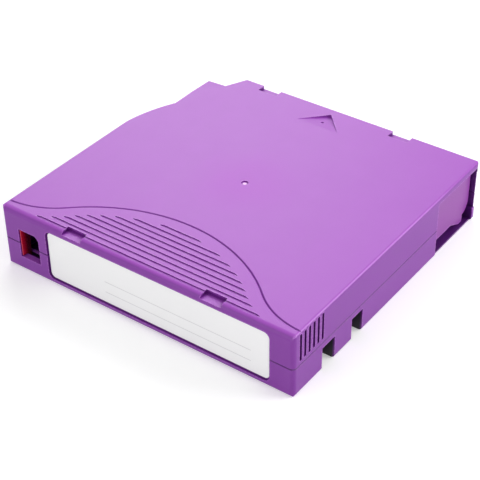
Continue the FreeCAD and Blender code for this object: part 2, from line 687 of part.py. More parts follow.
def mark_top(body):
    """Recesses and fine marks of the top surface and the grip grooves of the sides."""
    above = "height + past"
    for side, sign in SIDES:
        middle = f"{sign} * finger_place"
        across = (f"{middle} - finger_width / 2", f"{middle} + finger_width / 2")
        for end, turn in (("rear", -1), ("front", 1)):
            inner, outer = f"{turn} * (depth / 2 - finger_reach)", f"{turn} * (depth / 2 + past)"
            along = (inner, outer) if turn > 0 else (outer, inner)
            cut_block(body, f"{side}_{end}_finger", across, along, ("height - finger_depth", above))
    edge_rounds(body)
    for side, sign in SIDES:
        face = ("width / 2 - rib_depth", "width / 2 + past")
        across = face if sign > 0 else (f"-({face[1]})", f"-({face[0]})")
        first = "-(depth / 2 - rib_first)"
        groove = cut_block(body, f"{side}_grip_groove", across,
                           (f"{first} - rib_width / 2", f"{first} + rib_width / 2"),
                           ("rib_low", "height - edge_round"))
        repeat_along(body, groove, f"{side}_grip_grooves", "Y_Axis", "rib_pitch", GRIP_GROOVES)
    stripes(body)
    wave_line(body)
    cut_hole(body, "gate_dimple", "0", "0", "gate_radius", ("height - gate_depth", above))
    arrow(body)
    cut_hole(body, "arrow_dot", "0", "depth / 2 - dot_back", "dot_radius", ("height - dot_depth", above))
    corner_facet(body)


def ease_edge(body, name, plane, span, corner, signs, radius):
    """Rounds a straight outer edge: corner is the edge's place and signs point outwards from it."""
    (x, y), (sx, sy) = corner, signs
    inner, lower = f"({x}) - {sx} * {radius}", f"({y}) - {sy} * {radius}"
    sketch = new_sketch(body, name, plane, f"-({span} / 2 + past)")
    draw_outline(sketch, [
        (inner, f"({y})"),
        (inner, f"({y}) + {sy} * past"),
        (f"({x}) + {sx} * past", f"({y}) + {sy} * past"),
        (f"({x}) + {sx} * past", lower),
        (f"({x})", lower),
    ], {4: (inner, lower)})
    return sink_pocket(body, sketch, f"{span} + 2 * past")


def edge_rounds(body):
    """The large round over the spine and the small ones along the two sides."""
    ease_edge(body, "spine_round_cut", "YZ_Plane", "width", ("-depth / 2", "height"), (-1, 1), "spine_round")
    ease_edge(body, "right_round_cut", "XZ_Plane", "depth", ("width / 2", "height"), (1, 1), "edge_round")
    ease_edge(body, "left_round_cut", "XZ_Plane", "depth", ("-width / 2", "height"), (-1, 1), "edge_round")


# The wave line is a crest arc about the middle line and a valley arc to each side, level where
# they meet the sides. Its valley radius follows from that.
WAVE_FOOT = "(depth / 2 - wave_back)"
WAVE_CREST = "(depth / 2 - wave_reach)"
WAVE_VALLEY = (
    f"(((width / 2) ^ 2 + ({WAVE_CREST} + wave_round - {WAVE_FOOT}) ^ 2 - wave_round ^ 2)"
    f" / (2 * ({WAVE_FOOT} - {WAVE_CREST})))"
)


def stripe_reach(back):
    """Half length of the stripe this far behind the middle: up to the wave, less the bare strip."""
    crest_middle, valley_middle = f"({WAVE_CREST} + wave_round)", f"({WAVE_FOOT} - {WAVE_VALLEY})"
    share = f"((wave_round - stripe_inset) / (wave_round + {WAVE_VALLEY}))"
    turn = f"({crest_middle} - {share} * ({crest_middle} - {valley_middle}))"
    crest = f"sqrt((wave_round - stripe_inset) ^ 2 - ({crest_middle} - ({back})) ^ 2)"
    valley = f"width / 2 - sqrt(({WAVE_VALLEY} + stripe_inset) ^ 2 - (({back}) - {valley_middle}) ^ 2)"
    return crest if value(back) < value(turn) else valley


def stripes(body):
    """Rows of shallow pointed stripes that fill the space between the wave line and the spine."""
    sketch = new_sketch(body, "stripe_rows", lift="height - stripe_depth")
    for row in range(STRIPE_ROWS):
        back = f"depth / 2 - stripe_back - {row} * stripe_pitch"
        reach = stripe_reach(back)
        behind, ahead = f"-({back} + stripe_width / 2)", f"-({back} - stripe_width / 2)"
        draw_outline(sketch, [
            (f"-({reach})", f"-({back})"),
            (f"-({reach} - stripe_tip)", behind),
            (f"{reach} - stripe_tip", behind),
            (reach, f"-({back})"),
            (f"{reach} - stripe_tip", ahead),
            (f"-({reach} - stripe_tip)", ahead),
        ])
    return sink_pocket(body, sketch, "stripe_depth + past")


def wave_line(body):
    """Fine groove across the top, swept along three tangent arcs."""
    half, valley, crest_round = value("width / 2"), value(WAVE_VALLEY), value("wave_round")
    foot, crest = value(WAVE_FOOT), value(WAVE_CREST)
    crest_middle = Vector(0, -(crest + crest_round), 0)
    path = new_sketch(body, "wave_path", lift="height")
    arcs = []
    for sign in (-1, 1):
        valley_middle = Vector(sign * half, valley - foot, 0)
        meet = crest_middle + (valley_middle - crest_middle).normalize() * crest_round
        side = Vector(sign * half, -foot, 0)
        bend = valley_middle + ((meet + side) * 0.5 - valley_middle).normalize() * valley
        arcs.append((side, bend, meet))
    path.addGeometry(Part.Arc(*arcs[0]))
    path.addGeometry(Part.Arc(arcs[0][2], Vector(0, -crest, 0), arcs[1][2]))
    path.addGeometry(Part.Arc(arcs[1][2], arcs[1][1], arcs[1][0]))
    section = new_sketch(body, "wave_section", "YZ_Plane", "-width / 2")
    draw_polygon(section, f"-{WAVE_FOOT}", "height", "wave_groove", GROOVE_CORNERS)
    groove = body.newObject("PartDesign::SubtractivePipe", "wave_groove_cut")
    groove.Profile = section
    groove.Spine = (path, ["Edge1", "Edge2", "Edge3"])
    return groove


def arrow(body):
    """Insertion arrow: a triangle whose floor falls from its base to its tip."""
    sketch = new_sketch(body, "arrow_floor", lift="height")
    sketch.AttachmentOffset = FreeCAD.Placement(Vector(), FreeCAD.Rotation(Vector(1, 0, 0), -1))
    sketch.setExpression("AttachmentOffset.Base.z", cells("height"))
    sketch.setExpression("AttachmentOffset.Base.y", cells("depth / 2 - arrow_back - arrow_long"))
    sketch.setExpression("AttachmentOffset.Rotation.Angle", cells("-atan(arrow_depth / arrow_long)"))
    draw_outline(sketch, [
        ("-arrow_width / 2", "0"),
        ("arrow_width / 2", "0"),
        ("0", "sqrt(arrow_long ^ 2 + arrow_depth ^ 2)"),
    ])
    return sink_pocket(body, sketch, "arrow_depth + past")


def corner_facet(body):
    """Sloping facet across the stepped corner: level at its inner edge, lowest at the corner."""
    low = Vector(-value("width / 2 - step_in"), value("depth / 2 - step_back"), value("height - facet_fall"))
    rear = Vector(low.x, low.y - value("facet_side"), value("height"))
    front = Vector(low.x + value("facet_front"), low.y, value("height"))
    along = (front - rear).normalize()
    normal = along.cross(low - rear).normalize()
    sketch = new_sketch(body, "facet_floor", lift=None)
    turn = FreeCAD.Rotation(along, normal.cross(along), normal, "ZXY")
    sketch.AttachmentOffset = FreeCAD.Placement(rear, turn)
    span = "sqrt(facet_side ^ 2 + facet_front ^ 2)"
    draw_box(sketch, "-past", f"{span} + past", "0", f"{span} + past")
    return sink_pocket(body, sketch, "facet_fall + past")


def make_lower_shell():
    body = new_body("lower_shell")
    floor = "floor_plate - bury"
    shell_block(body, ("0", "parting"))
    hollow(body, ("floor_plate", "parting"))
    opening(body)
    for side, sign in SIDES:
        for name in ("rear", "fore"):
            grip_notch(body, f"{side}_{name}_notch", sign, f"notch_{name}_place", f"notch_{name}_width")
    for name, (x, y) in boss_places().items():
        add_post(body, f"lower_{name}_boss", x, y, "boss_radius", (floor, "parting"))
        cut_hole(body, f"lower_{name}_bore", x, y, "screw_radius + gap / 2", ("0", "parting"))
        cut_hole(body, f"lower_{name}_sink", x, y, "head_radius + gap", ("0", "head_seat"))
    switch_rail(body, (floor, f"{SWITCH_LOW} - gap"), (floor, f"{SWITCH_LOW} + rail_lap"))
    switch_window(body)
    label_recess(body)
    locators(body)
    guide_rib(body, f"{PORT_REAR} + bury", (floor, "floor_plate + guide_rise"))
    door_bay(body)
    add_post(body, "lower_hairpin_post", f"{PIN_X} - hairpin_length", PIN_Y, "hairpin_post",
             (floor, f"{PIN_LOW} + pin_stub"))
    add_post(body, "twist_stand", TWIST_X, TWIST_Y, "twist_radius + twist_wire / 2",
             (floor, f"{TWIST_LOW} - gap"))
    add_post(body, "twist_pin", TWIST_X, TWIST_Y, "twist_post", (floor, f"{TWIST_LOW} + twist_post_tall"))
    add_post(body, "twist_stop", f"{TWIST_X} + twist_radius - stop_room - twist_wire / 2 - stop_radius",
             f"{TWIST_Y} - stop_back", "stop_radius", (floor, f"{TWIST_LOW} + stop_tall"))
    cradle(body)
    bottom_round(body)
    return body


def opening(body):
    """Opening for the drive's teeth with a collar that the reel sits over."""
    radius = f"{DRIVE_OUTER} + opening_room"
    add_post(body, "collar", "0", "0", f"{radius} + collar_wall",
             ("floor_plate - bury", f"{FLANGE_LOW} - gap"))
    cut_hole(body, "opening", "0", "0", radius, ("-past", "parting"))


def grip_notch(body, name, sign, place, width):
    """A picker's notch, open to the side and below, with its own inner walls."""
    inside = "width / 2 - notch_deep"
    across = (inside, "width / 2 + past")
    lined = (f"{inside} - notch_wall", "width / 2 - lining_short")
    if sign < 0:
        across = (f"-({across[1]})", f"-({across[0]})")
        lined = (f"-({lined[1]})", f"-({lined[0]})")
    middle = f"-(depth / 2 - {place})"
    rear, front = f"{middle} - {width} / 2", f"{middle} + {width} / 2"
    add_block(body, name + "_lining", lined, (f"{rear} - notch_wall", f"{front} + notch_wall"),
              ("floor_plate - bury", "notch_high + notch_wall"))
    cut_block(body, name, across, (rear, front), ("-past", "notch_high"))


def locators(body):
    """A round and a slotted blind recess under the front edge, each under a closed cup."""
    roof = ("floor_plate - bury", "floor_plate + locator_roof")
    cup = "locator_radius + locator_cup"
    bore = ("-past", "locator_depth")
    ahead = "(depth / 2 - locator_back)"
    add_post(body, "locator_cup", "-locator_across", ahead, cup, roof)
    cut_hole(body, "locator", "-locator_across", ahead, "locator_radius", bore)
    half = "(locator_slot + locator_radius)"
    slot = (f"locator_across - {half}", f"locator_across + {half}")
    add_block(body, "slot_cup", (f"{slot[0]} - locator_cup", f"{slot[1]} + locator_cup"),
              (f"{ahead} - ({cup})", f"{ahead} + {cup}"), roof)
    cut_block(body, "slot", slot, (f"{ahead} - locator_radius", f"{ahead} + locator_radius"), bore)


def door_bay(body):
    """Where the door runs: the ledge under it, a channel for its foot, the sill and the front post."""
    floor = "floor_plate - bury"
    door_port(body, ("ledge_high", "parting + past"), ("post_foot", "parting + past"))
    cut_block(body, "ledge_edge", ("width / 2 - ledge_in", "width / 2 + past"),
              (PORT_REAR, "depth / 2 - side_wall"), ("-past", "ledge_high + bury"))
    cut_block(body, "foot_channel", (GUIDE_FACE, "width / 2 - side_wall"),
              (f"{FOOT_REAR} - foot_slope - door_travel", f"{PORT_REAR} + bury"),
              ("ledge_high", "floor_plate + past"))
    add_block(body, "sill", (f"{POST_INNER} - notch_wall", POST_INNER),
              (f"{PORT_REAR} - past", "depth / 2 - side_wall + bury"), (floor, SILL_HIGH))
    add_block(body, "post_base", (f"{POST_INNER} - bury", "width / 2"),
              ("depth / 2 - side_wall", "depth / 2 - post_thick + bury"), ("0", "post_foot"))


# foot of the memory chip: the low edge of its lower face
CHIP_FOOT = "-(depth / 2 - spine_wall - gap)"
CHIP_LEFT = "(width / 2 - chip_in)"
CHIP_LEAN = "chip_thick * sin(chip_tilt * 1 deg)"


def cradle(body):
    """Two sloping ribs that hold the memory chip at its angle."""
    rise = "chip_length * sin(chip_tilt * 1 deg)"
    foot = f"{CHIP_FOOT} + {CHIP_LEAN}"
    head = f"{foot} + chip_length * cos(chip_tilt * 1 deg)"
    for name, left in (("left", f"{CHIP_LEFT} + cradle_inset"),
                       ("right", f"{CHIP_LEFT} + chip_width - cradle_inset - cradle_rib")):
        sketch = new_sketch(body, f"cradle_{name}", "YZ_Plane", left)
        draw_outline(sketch, [
            (f"{foot} - cradle_toe", "floor_plate - bury"),
            (f"{head} + cradle_back", "floor_plate - bury"),
            (f"{head} + cradle_back", f"floor_plate + {rise}"),
            (head, f"floor_plate + {rise}"),
            (foot, "floor_plate"),
            (f"{foot} - cradle_toe", "floor_plate"),
        ])
        raise_pad(body, sketch, "cradle_rib")


def bottom_round(body):
    """Rounds under the spine and the two sides."""
    ease_edge(body, "spine_foot", "YZ_Plane", "width", ("-depth / 2", "0"), (-1, -1), "foot_round")
    ease_edge(body, "right_foot", "XZ_Plane", "depth", ("width / 2", "0"), (1, -1), "foot_round")
    ease_edge(body, "left_foot", "XZ_Plane", "depth", ("-width / 2", "0"), (-1, -1), "foot_round")


# ---------------------------------------------------------------- label and switch

def make_spine_label():
    body = new_body("spine_label")
    sketch = new_sketch(body, "sheet", "XZ_Plane", "depth / 2 - recess_depth")
    draw_rounded(sketch, *label_edges("label_margin"), "recess_round - label_margin")
    raise_pad(body, sketch, "label_sheet")
    return body


def make_switch():
    """Sliding tab: a plate behind the wall with a slanted finger catch in the window."""
    body = new_body("write_protect_switch")
    add_block(body, "slider", (f"-({WINDOW_LEFT} + switch_hidden)", SWITCH_RIGHT),
              (SWITCH_FACE, f"{SWITCH_FACE} + switch_thick"), (SWITCH_LOW, SWITCH_HIGH))
    sketch = new_sketch(body, "catch", lift="window_low + gap")
    left, root, outer = f"-{WINDOW_LEFT} + gap", f"{SWITCH_FACE} + bury", "-(depth / 2 - gap)"
    draw_outline(sketch, [
        (left, root),
        (left, outer),
        (f"{left} + catch_tip", outer),
        (f"{left} + catch_root", root),
    ])
    raise_pad(body, sketch, "window_high - window_low - 2 * gap")
    return body


# ---------------------------------------------------------------- reel

def tooth(body, name, root, tip, half_root, half_tip, inner, length):
    """A straight tooth with sloping flanks, along the radius at +X, on a ring of this length."""
    sketch = new_sketch(body, name, "YZ_Plane", f"{inner} + tooth_inset")
    bury = f"({root}) + bury * (({root}) > ({tip}) ? 1 : -1)"
    draw_outline(sketch, [
        (f"-{half_root}", bury),
        (f"-{half_root}", root),
        (f"-{half_tip}", tip),
        (half_tip, tip),
        (half_root, root),
        (half_root, bury),
    ])
    return raise_pad(body, sketch, f"{length} - 2 * tooth_inset")


# half the thickness of a tooth at its root, from the spacing at the inner end of its ring
DRIVE_ROOT_HALF = f"(pi * {DRIVE_INNER} / teeth - drive_land / 2)"
LOCK_SHIFT = "(gap / lock_tall)"
LOCK_ROOT_HALF = (
    f"((pi * {LOCK_INNER} / teeth - lock_play - lock_tip_half * (1 + {LOCK_SHIFT})) / (1 - {LOCK_SHIFT}))"
)


def make_reel_hub():
    """Hub, lower flange, drive teeth below and lock teeth inside, as one moulding."""
    body = new_body("reel_hub")
    revolve(body, "hub", [
        ("0", PLATE_SEAT),
        (DRIVE_INNER, PLATE_SEAT),
        (DRIVE_INNER, DRIVE_ROOT),
        (DRIVE_OUTER, DRIVE_ROOT),
        (DRIVE_OUTER, FLANGE_LOW),
        (FLANGE_RADIUS, FLANGE_LOW),
        (FLANGE_RADIUS, f"{FLANGE_LOW} + flange_thick"),
        ("hub_radius", f"{FLANGE_LOW} + flange_thick"),
        ("hub_radius", UPPER_LOW),
        (f"{HUB_INNER} + spigot_wall", UPPER_LOW),
        (f"{HUB_INNER} + spigot_wall", f"{UPPER_LOW} + flange_thick"),
        (HUB_INNER, f"{UPPER_LOW} + flange_thick"),
        (HUB_INNER, HUB_FLOOR),
        ("0", HUB_FLOOR),
    ])
    drive = tooth(body, "drive_tooth", DRIVE_ROOT, "drive_tip", DRIVE_ROOT_HALF, "drive_tip_half",
                  DRIVE_INNER, "drive_ring")
    repeat_round(body, drive, "drive_teeth", "teeth")
    lock = tooth(body, "lock_tooth", HUB_FLOOR, f"{HUB_FLOOR} + lock_tall", LOCK_ROOT_HALF, "lock_tip_half",
                 LOCK_INNER, "lock_ring")
    repeat_round(body, lock, "lock_teeth", "teeth")
    side = "arm_width / 2 + leg_room"
    slot = cut_block(body, "leg_slot", (f"{DRIVE_INNER} - slot_room", f"{DRIVE_OUTER} + slot_room"),
                     (f"-({side})", side), ("0", f"{HUB_FLOOR} + past"))
    repeat_round(body, slot, "leg_slots", "legs")
    return body


def make_upper_flange():
    body = new_body("upper_flange")
    bore = f"{HUB_INNER} + spigot_wall + fit"
    add_ring(body, "flange", bore, FLANGE_RADIUS, (UPPER_LOW, f"{UPPER_LOW} + flange_thick"))
    return body


def make_drive_plate():
    body = new_body("drive_plate")
    add_ring(body, "steel", "plate_inner", f"{DRIVE_INNER} - plate_room",
             (f"{PLATE_SEAT} - plate_thick", PLATE_SEAT))
    return body


def make_tape_pack():
    body = new_body("tape_pack")
    add_ring(body, "windings", "hub_radius + fit", PACK_RADIUS, (TAPE_LOW, TAPE_HIGH))
    return body


# ---------------------------------------------------------------- reel lock

def make_release_pad():
    """Three-armed pad whose legs reach down through the hub to the drive."""
    body = new_body("release_pad")
    side = ("-arm_width / 2", "arm_width / 2")
    add_post(body, "pad", "0", "0", "pad_radius", (PAD_LOW, PAD_HIGH))
    arm = add_block(body, "arm", ("0", LEG_OUTER), side, (PAD_LOW, PAD_HIGH))
    repeat_round(body, arm, "arms", "legs")
    leg = add_block(body, "leg", (LEG_INNER, LEG_OUTER), side, ("drive_tip + leg_short", f"{PAD_LOW} + bury"))
    repeat_round(body, leg, "feet", "legs")
    return body


def make_brake_button():
    """Toothed disc that locks the hub; its socket slides on the cross key of the upper shell."""
    body = new_body("brake_button")
    web_low = f"{WEB_HIGH} - web_thick"
    revolve(body, "brake", [
        ("0", f"{PAD_HIGH} + gap"),
        ("brake_boss", f"{PAD_HIGH} + gap"),
        ("brake_boss", web_low),
        (LOCK_INNER, web_low),
        (LOCK_INNER, BRAKE_ROOT),
        (LOCK_OUTER, BRAKE_ROOT),
        (LOCK_OUTER, WEB_HIGH),
        ("socket_radius", WEB_HIGH),
        ("socket_radius", SOCKET_HIGH),
        ("0", SOCKET_HIGH),
    ])
    lock = tooth(body, "brake_tooth", BRAKE_ROOT, BRAKE_TIP, LOCK_ROOT_HALF, "lock_tip_half",
                 LOCK_INNER, "lock_ring")
    repeat_round(body, lock, "brake_teeth", "teeth")
    half, thin = "key_length / 2 + gap", "key_thick / 2 + gap"
    deep = (f"{KEY_LOW} - lock_travel - gap", f"{SOCKET_HIGH} + past")
    cut_block(body, "slot_across", (f"-({half})", half), (f"-({thin})", thin), deep)
    cut_block(body, "slot_along", (f"-({thin})", thin), (f"-({half})", half), deep)
    # half a tooth round, so that its teeth stand in the gaps of the hub's
    body.setExpression("Placement.Rotation.Angle", cells("180 / teeth"))
    return body


def make_brake_spring():
    body = new_body("brake_spring")
    low, high = f"{WEB_HIGH} + fit + coil_wire / 2", f"{ROOF} - fit - coil_wire / 2"
    coil(body, "wire", "coil_radius", low, "coil_wire / 2", f"({high}) - ({low})", "coil_turns")
    return body


# ---------------------------------------------------------------- door

HOOK = f"({DOOR_NOSE} - hook_back)"


def make_door():
    """Sliding plate whose nose curves back to a foot, with a thin skirt and a hook for its spring."""
    body = new_body("door")
    centre = (f"{DOOR_NOSE} - nose_curve", "nose_bend")
    sketch = new_sketch(body, "side_view", "YZ_Plane", DOOR_INNER)
    draw_outline(sketch, [
        (DOOR_TAIL, DOOR_LOW),
        (f"{FOOT_REAR} - foot_slope", DOOR_LOW),
        (FOOT_REAR, "ledge_high + foot_room"),
        (FOOT_FRONT, "ledge_high + foot_room"),
        (FOOT_FRONT, "nose_bend - sqrt(nose_curve ^ 2 - (nose_curve - foot_back) ^ 2)"),
        (DOOR_NOSE, "nose_bend"),
        (DOOR_NOSE, f"{ROOF} - gap"),
        (DOOR_TAIL, f"{ROOF} - gap"),
    ], {4: centre})
    plate = raise_pad(body, sketch, "door_thick")
    nose, face, bend = value(DOOR_NOSE), value(DOOR_FACE), value("nose_bend")

    def nose_edge(edge):
        box = edge.BoundBox
        return box.YMin > nose - 1e-4 and box.XMin > face - 1e-4 and box.ZMin > bend - 1e-4

    treat_edges(body, "Fillet", "nose_round", plate, nose_edge, "nose_ease")
    add_block(body, "skirt", (DOOR_INNER, f"{DOOR_INNER} + door_skirt"), (DOOR_TAIL, FOOT_FRONT),
              (f"{SILL_HIGH} + gap", f"{DOOR_LOW} + bury"))
    add_block(body, "hook", (f"{DOOR_INNER} - hook_reach", f"{DOOR_INNER} + bury"),
              (f"{HOOK} - hook_long", HOOK), (f"{TWIST_LOW} - hook_low", f"{TWIST_LOW} + hook_high"))
    return body


def make_door_spring():
    """Torsion spring on its post: one arm bears on the door's hook, the other on the casing."""
    body = new_body("door_spring")
    wire = "twist_wire / 2"
    low = f"{TWIST_LOW} + {wire}"
    rise = "twist_pitch * twist_turns"
    coil(body, "twist", "twist_radius", low, wire, rise, "twist_turns")
    for name, height, reach, forward in (
        ("long_arm", f"{low} + {rise}", "twist_arm", True),
        ("short_arm", low, "twist_stay", False),
    ):
        arm = new_sketch(body, name, "XZ_Plane")
        draw_polygon(arm, "twist_radius", height, wire, WIRE_CORNERS)
        bar = raise_pad(body, arm, reach)
        bar.Reversed = forward
    body.setExpression("Placement.Base.x", cells(TWIST_X))
    body.setExpression("Placement.Base.y", cells(TWIST_Y))
    body.setExpression("Placement.Rotation.Angle", cells("-twist_lean"))
    return body


# ---------------------------------------------------------------- leader

def make_leader_pin():
    body = new_body("leader_pin")
    low_flange = f"({TAPE_LOW} - gap / 2)"
    high_flange = f"({TAPE_HIGH} + gap / 2)"
    revolve(body, "pin", [
        ("0", PIN_LOW),
        ("pin_stub", PIN_LOW),
        ("pin_stub", f"{low_flange} - pin_flange_thick"),
        ("pin_flange", f"{low_flange} - pin_flange_thick"),
        ("pin_flange", low_flange),
        ("pin_radius", low_flange),
        ("pin_radius", high_flange),
        ("pin_flange", high_flange),
        ("pin_flange", f"{high_flange} + pin_flange_thick"),
        ("pin_stub", f"{high_flange} + pin_flange_thick"),
        ("pin_stub", PIN_HIGH),
        ("0", PIN_HIGH),
    ])
    return at_pin(body)


def at_pin(body):
    body.setExpression("Placement.Base.x", cells(PIN_X))
    body.setExpression("Placement.Base.y", cells(PIN_Y))
    return body


CLIP_OUTER = "(pin_radius + fit + clip_wall)"
PIN_FAR = f"sqrt({PIN_X} ^ 2 + {PIN_Y} ^ 2)"
LEAVE_RADIUS = f"({PACK_RADIUS} + gap)"
LEAVE_TURN = f"(atan({PIN_Y} / {PIN_X}) + acos({LEAVE_RADIUS} / {PIN_FAR}))"


def make_leader_clip():
    """Split tube that snaps over the pin's shaft and holds the end of the tape."""
    body = new_body("leader_clip")
    z = (f"{TAPE_LOW} + gap", f"{TAPE_HIGH} - gap")
    add_ring(body, "tube", "pin_radius + fit", CLIP_OUTER, z)
    cut_block(body, "mouth", ("0", f"{CLIP_OUTER} + past"), ("-clip_mouth", "clip_mouth"), z)
    return at_pin(body)


def make_tape_leader():
    """Free stretch of tape, straight from its tangent point on the pack to the pin's clip."""
    strip = DOC.addObject("Part::Box", "tape_leader")
    strip.Label = "tape_leader"
    strip.setExpression("Length", cells(f"sqrt({PIN_FAR} ^ 2 - {LEAVE_RADIUS} ^ 2) - {CLIP_OUTER} - fit"))
    strip.setExpression("Width", cells("leader_thick"))
    strip.setExpression("Height", cells("tape_width"))
    strip.Placement = FreeCAD.Placement(Vector(), FreeCAD.Rotation(Vector(0, 0, 1), -1))
    strip.setExpression("Placement.Base.x", cells(f"{LEAVE_RADIUS} * cos({LEAVE_TURN})"))
    strip.setExpression("Placement.Base.y", cells(f"{LEAVE_RADIUS} * sin({LEAVE_TURN})"))
    strip.setExpression("Placement.Base.z", cells(TAPE_LOW))
    strip.setExpression("Placement.Rotation.Angle", cells(f"{LEAVE_TURN} - 90 deg"))
    return strip


def make_pin_spring(name, height):
    """Hairpin of wire round a post of the shell; its two arms hold one end of the leader pin."""
    body = new_body(name)
    half = "(pin_stub + fit + hairpin_wire / 2)"
    path = new_sketch(body, "path", "XY_Plane", height)
    tip, back, side = value("pin_stub"), -value("hairpin_length"), value(half)
    path.addGeometry(Part.LineSegment(Vector(tip, side, 0), Vector(back, side, 0)))
    path.addGeometry(Part.Arc(Vector(back, side, 0), Vector(back - side, 0, 0), Vector(back, -side, 0)))
    path.addGeometry(Part.LineSegment(Vector(back, -side, 0), Vector(tip, -side, 0)))
    there, back_again = ("pin_stub", "-hairpin_length"), ("-hairpin_length", "pin_stub")
    for line, ends, y in ((0, there, half), (2, back_again, f"-{half}")):
        for end, x in enumerate(ends, start=1):
            pin_point(path, line, end, x, y)
    section = new_sketch(body, "section", "YZ_Plane", "pin_stub")
    draw_polygon(section, half, height, "hairpin_wire / 2", WIRE_CORNERS)
    wire = body.newObject("PartDesign::AdditivePipe", "wire")
    wire.Profile = section
    wire.Spine = (path, ["Edge1", "Edge2", "Edge3"])
    return at_pin(body)


# ---------------------------------------------------------------- chip and screws

def make_memory_chip():
    body = new_body("memory_chip")
    sketch = new_sketch(body, "board", "YZ_Plane", CHIP_LEFT)
    draw_box(sketch, "0", "chip_length", "fit", "chip_thick")
    raise_pad(body, sketch, "chip_width")
    body.Placement = FreeCAD.Placement(Vector(), FreeCAD.Rotation(Vector(1, 0, 0), 1))
    body.setExpression("Placement.Rotation.Angle", cells("chip_tilt"))
    body.setExpression("Placement.Base.y", cells(f"{CHIP_FOOT} + {CHIP_LEAN}"))
    body.setExpression("Placement.Base.z", cells("floor_plate"))
    return body


def make_case_screws():
    """Four screws, one at each boss, as separate solids of one node."""
    screws = []
    for name, (x, y) in boss_places().items():
        body = new_body(f"screw_{name}")
        revolve(body, f"{name}_screw", [
            ("0", "head_low + driver_depth"),
            ("driver_radius", "head_low + driver_depth"),
            ("driver_radius", "head_low"),
            ("head_radius", "head_low"),
            ("head_radius", "head_seat"),
            ("screw_radius", "head_seat"),
            ("screw_radius", "screw_reach"),
            ("0", "screw_reach"),
        ])
        body.setExpression("Placement.Base.x", cells(x))
        body.setExpression("Placement.Base.y", cells(y))
        screws.append(body)
    group = DOC.addObject("Part::Compound", "case_screws")
    group.Label = "case_screws"
    group.Links = screws
    return group


# ---------------------------------------------------------------- the whole

def make_all():
    return [
        make_lower_shell(),
        make_upper_shell(),
        make_spine_label(),
        make_switch(),
        make_reel_hub(),
        make_upper_flange(),
        make_drive_plate(),
        make_tape_pack(),
        make_release_pad(),
        make_brake_button(),
        make_brake_spring(),
        make_door(),
        make_door_spring(),
        make_leader_pin(),
        make_leader_clip(),
        make_tape_leader(),
        make_pin_spring("pin_spring_lower", f"({PIN_LOW} + hairpin_inset + hairpin_wire / 2)"),
        make_pin_spring("pin_spring_upper", f"({PIN_HIGH} - hairpin_inset - hairpin_wire / 2)"),
        make_memory_chip(),
        make_case_screws(),
    ]


def check(pieces):
    failed = [item.Name for item in DOC.Objects if {"Invalid", "Error"} & set(item.State)]
    if failed:
        raise RuntimeError(f"features that failed: {failed}")
    for piece in pieces:
        if piece.Shape.isNull() or not piece.Shape.isValid() or not piece.Shape.Solids:
            raise RuntimeError(f"{piece.Label} has no valid solid")


DOC = FreeCAD.newDocument("tape_cartridge")
SHEET = make_sheet(DOC)
PIECES = make_all()
DOC.recompute()
check(PIECES)
os.makedirs("parts", exist_ok=True)
for piece in PIECES:
    piece.Shape.exportStep(f"parts/{piece.Label}.step")
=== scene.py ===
"""Looks of a half-inch data tape cartridge around its CAD frame. Metres, in the frame's own axes."""
import math

import bpy
from mathutils import Matrix, Vector


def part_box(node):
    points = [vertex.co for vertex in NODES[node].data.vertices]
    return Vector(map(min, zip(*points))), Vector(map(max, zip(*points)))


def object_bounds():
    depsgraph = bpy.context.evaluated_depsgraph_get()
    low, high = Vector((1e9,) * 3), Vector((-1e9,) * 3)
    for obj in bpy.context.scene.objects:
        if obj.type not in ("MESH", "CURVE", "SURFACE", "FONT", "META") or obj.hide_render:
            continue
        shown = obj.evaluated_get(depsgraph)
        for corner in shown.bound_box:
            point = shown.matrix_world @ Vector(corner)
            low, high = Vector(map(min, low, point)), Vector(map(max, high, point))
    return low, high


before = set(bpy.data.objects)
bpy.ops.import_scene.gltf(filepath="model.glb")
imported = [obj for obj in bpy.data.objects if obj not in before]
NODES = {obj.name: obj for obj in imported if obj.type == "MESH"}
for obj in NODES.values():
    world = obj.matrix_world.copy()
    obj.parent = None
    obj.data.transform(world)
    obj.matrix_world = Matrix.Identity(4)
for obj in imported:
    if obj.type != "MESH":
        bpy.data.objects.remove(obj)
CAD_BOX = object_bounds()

MM = 0.001
LOW, HIGH = CAD_BOX
TOP = HIGH.z


# ---------------------------------------------------------------- shader expressions

NOISE_MIDDLE = 0.5
CROWDING_LOOKS = 8


class Signal:
    """A number that varies over a surface. Arithmetic on signals adds their Math nodes."""

    def __init__(self, finish, socket):
        self.finish = finish
        self.socket = socket

    def math(self, operation, *values):
        inputs = dict(enumerate(values))
        return self.finish.add("ShaderNodeMath", {"operation": operation}, inputs)

    def __add__(self, other):
        return self.math("ADD", self, other)

    def __radd__(self, other):
        return self.math("ADD", other, self)

    def __sub__(self, other):
        return self.math("SUBTRACT", self, other)

    def __rsub__(self, other):
        return self.math("SUBTRACT", other, self)

    def __mul__(self, other):
        return self.math("MULTIPLY", self, other)

    def __rmul__(self, other):
        return self.math("MULTIPLY", other, self)

    def __abs__(self):
        return self.math("ABSOLUTE", self)

    def ramp(self, start, end):
        """0 at start, 1 at end, smooth between; start may be the higher one."""
        if start > end:
            return 1 - self.ramp(end, start)
        settings = {"interpolation_type": "SMOOTHSTEP", "clamp": True}
        return self.finish.add("ShaderNodeMapRange", settings,
                               {"Value": self, "From Min": start, "From Max": end})


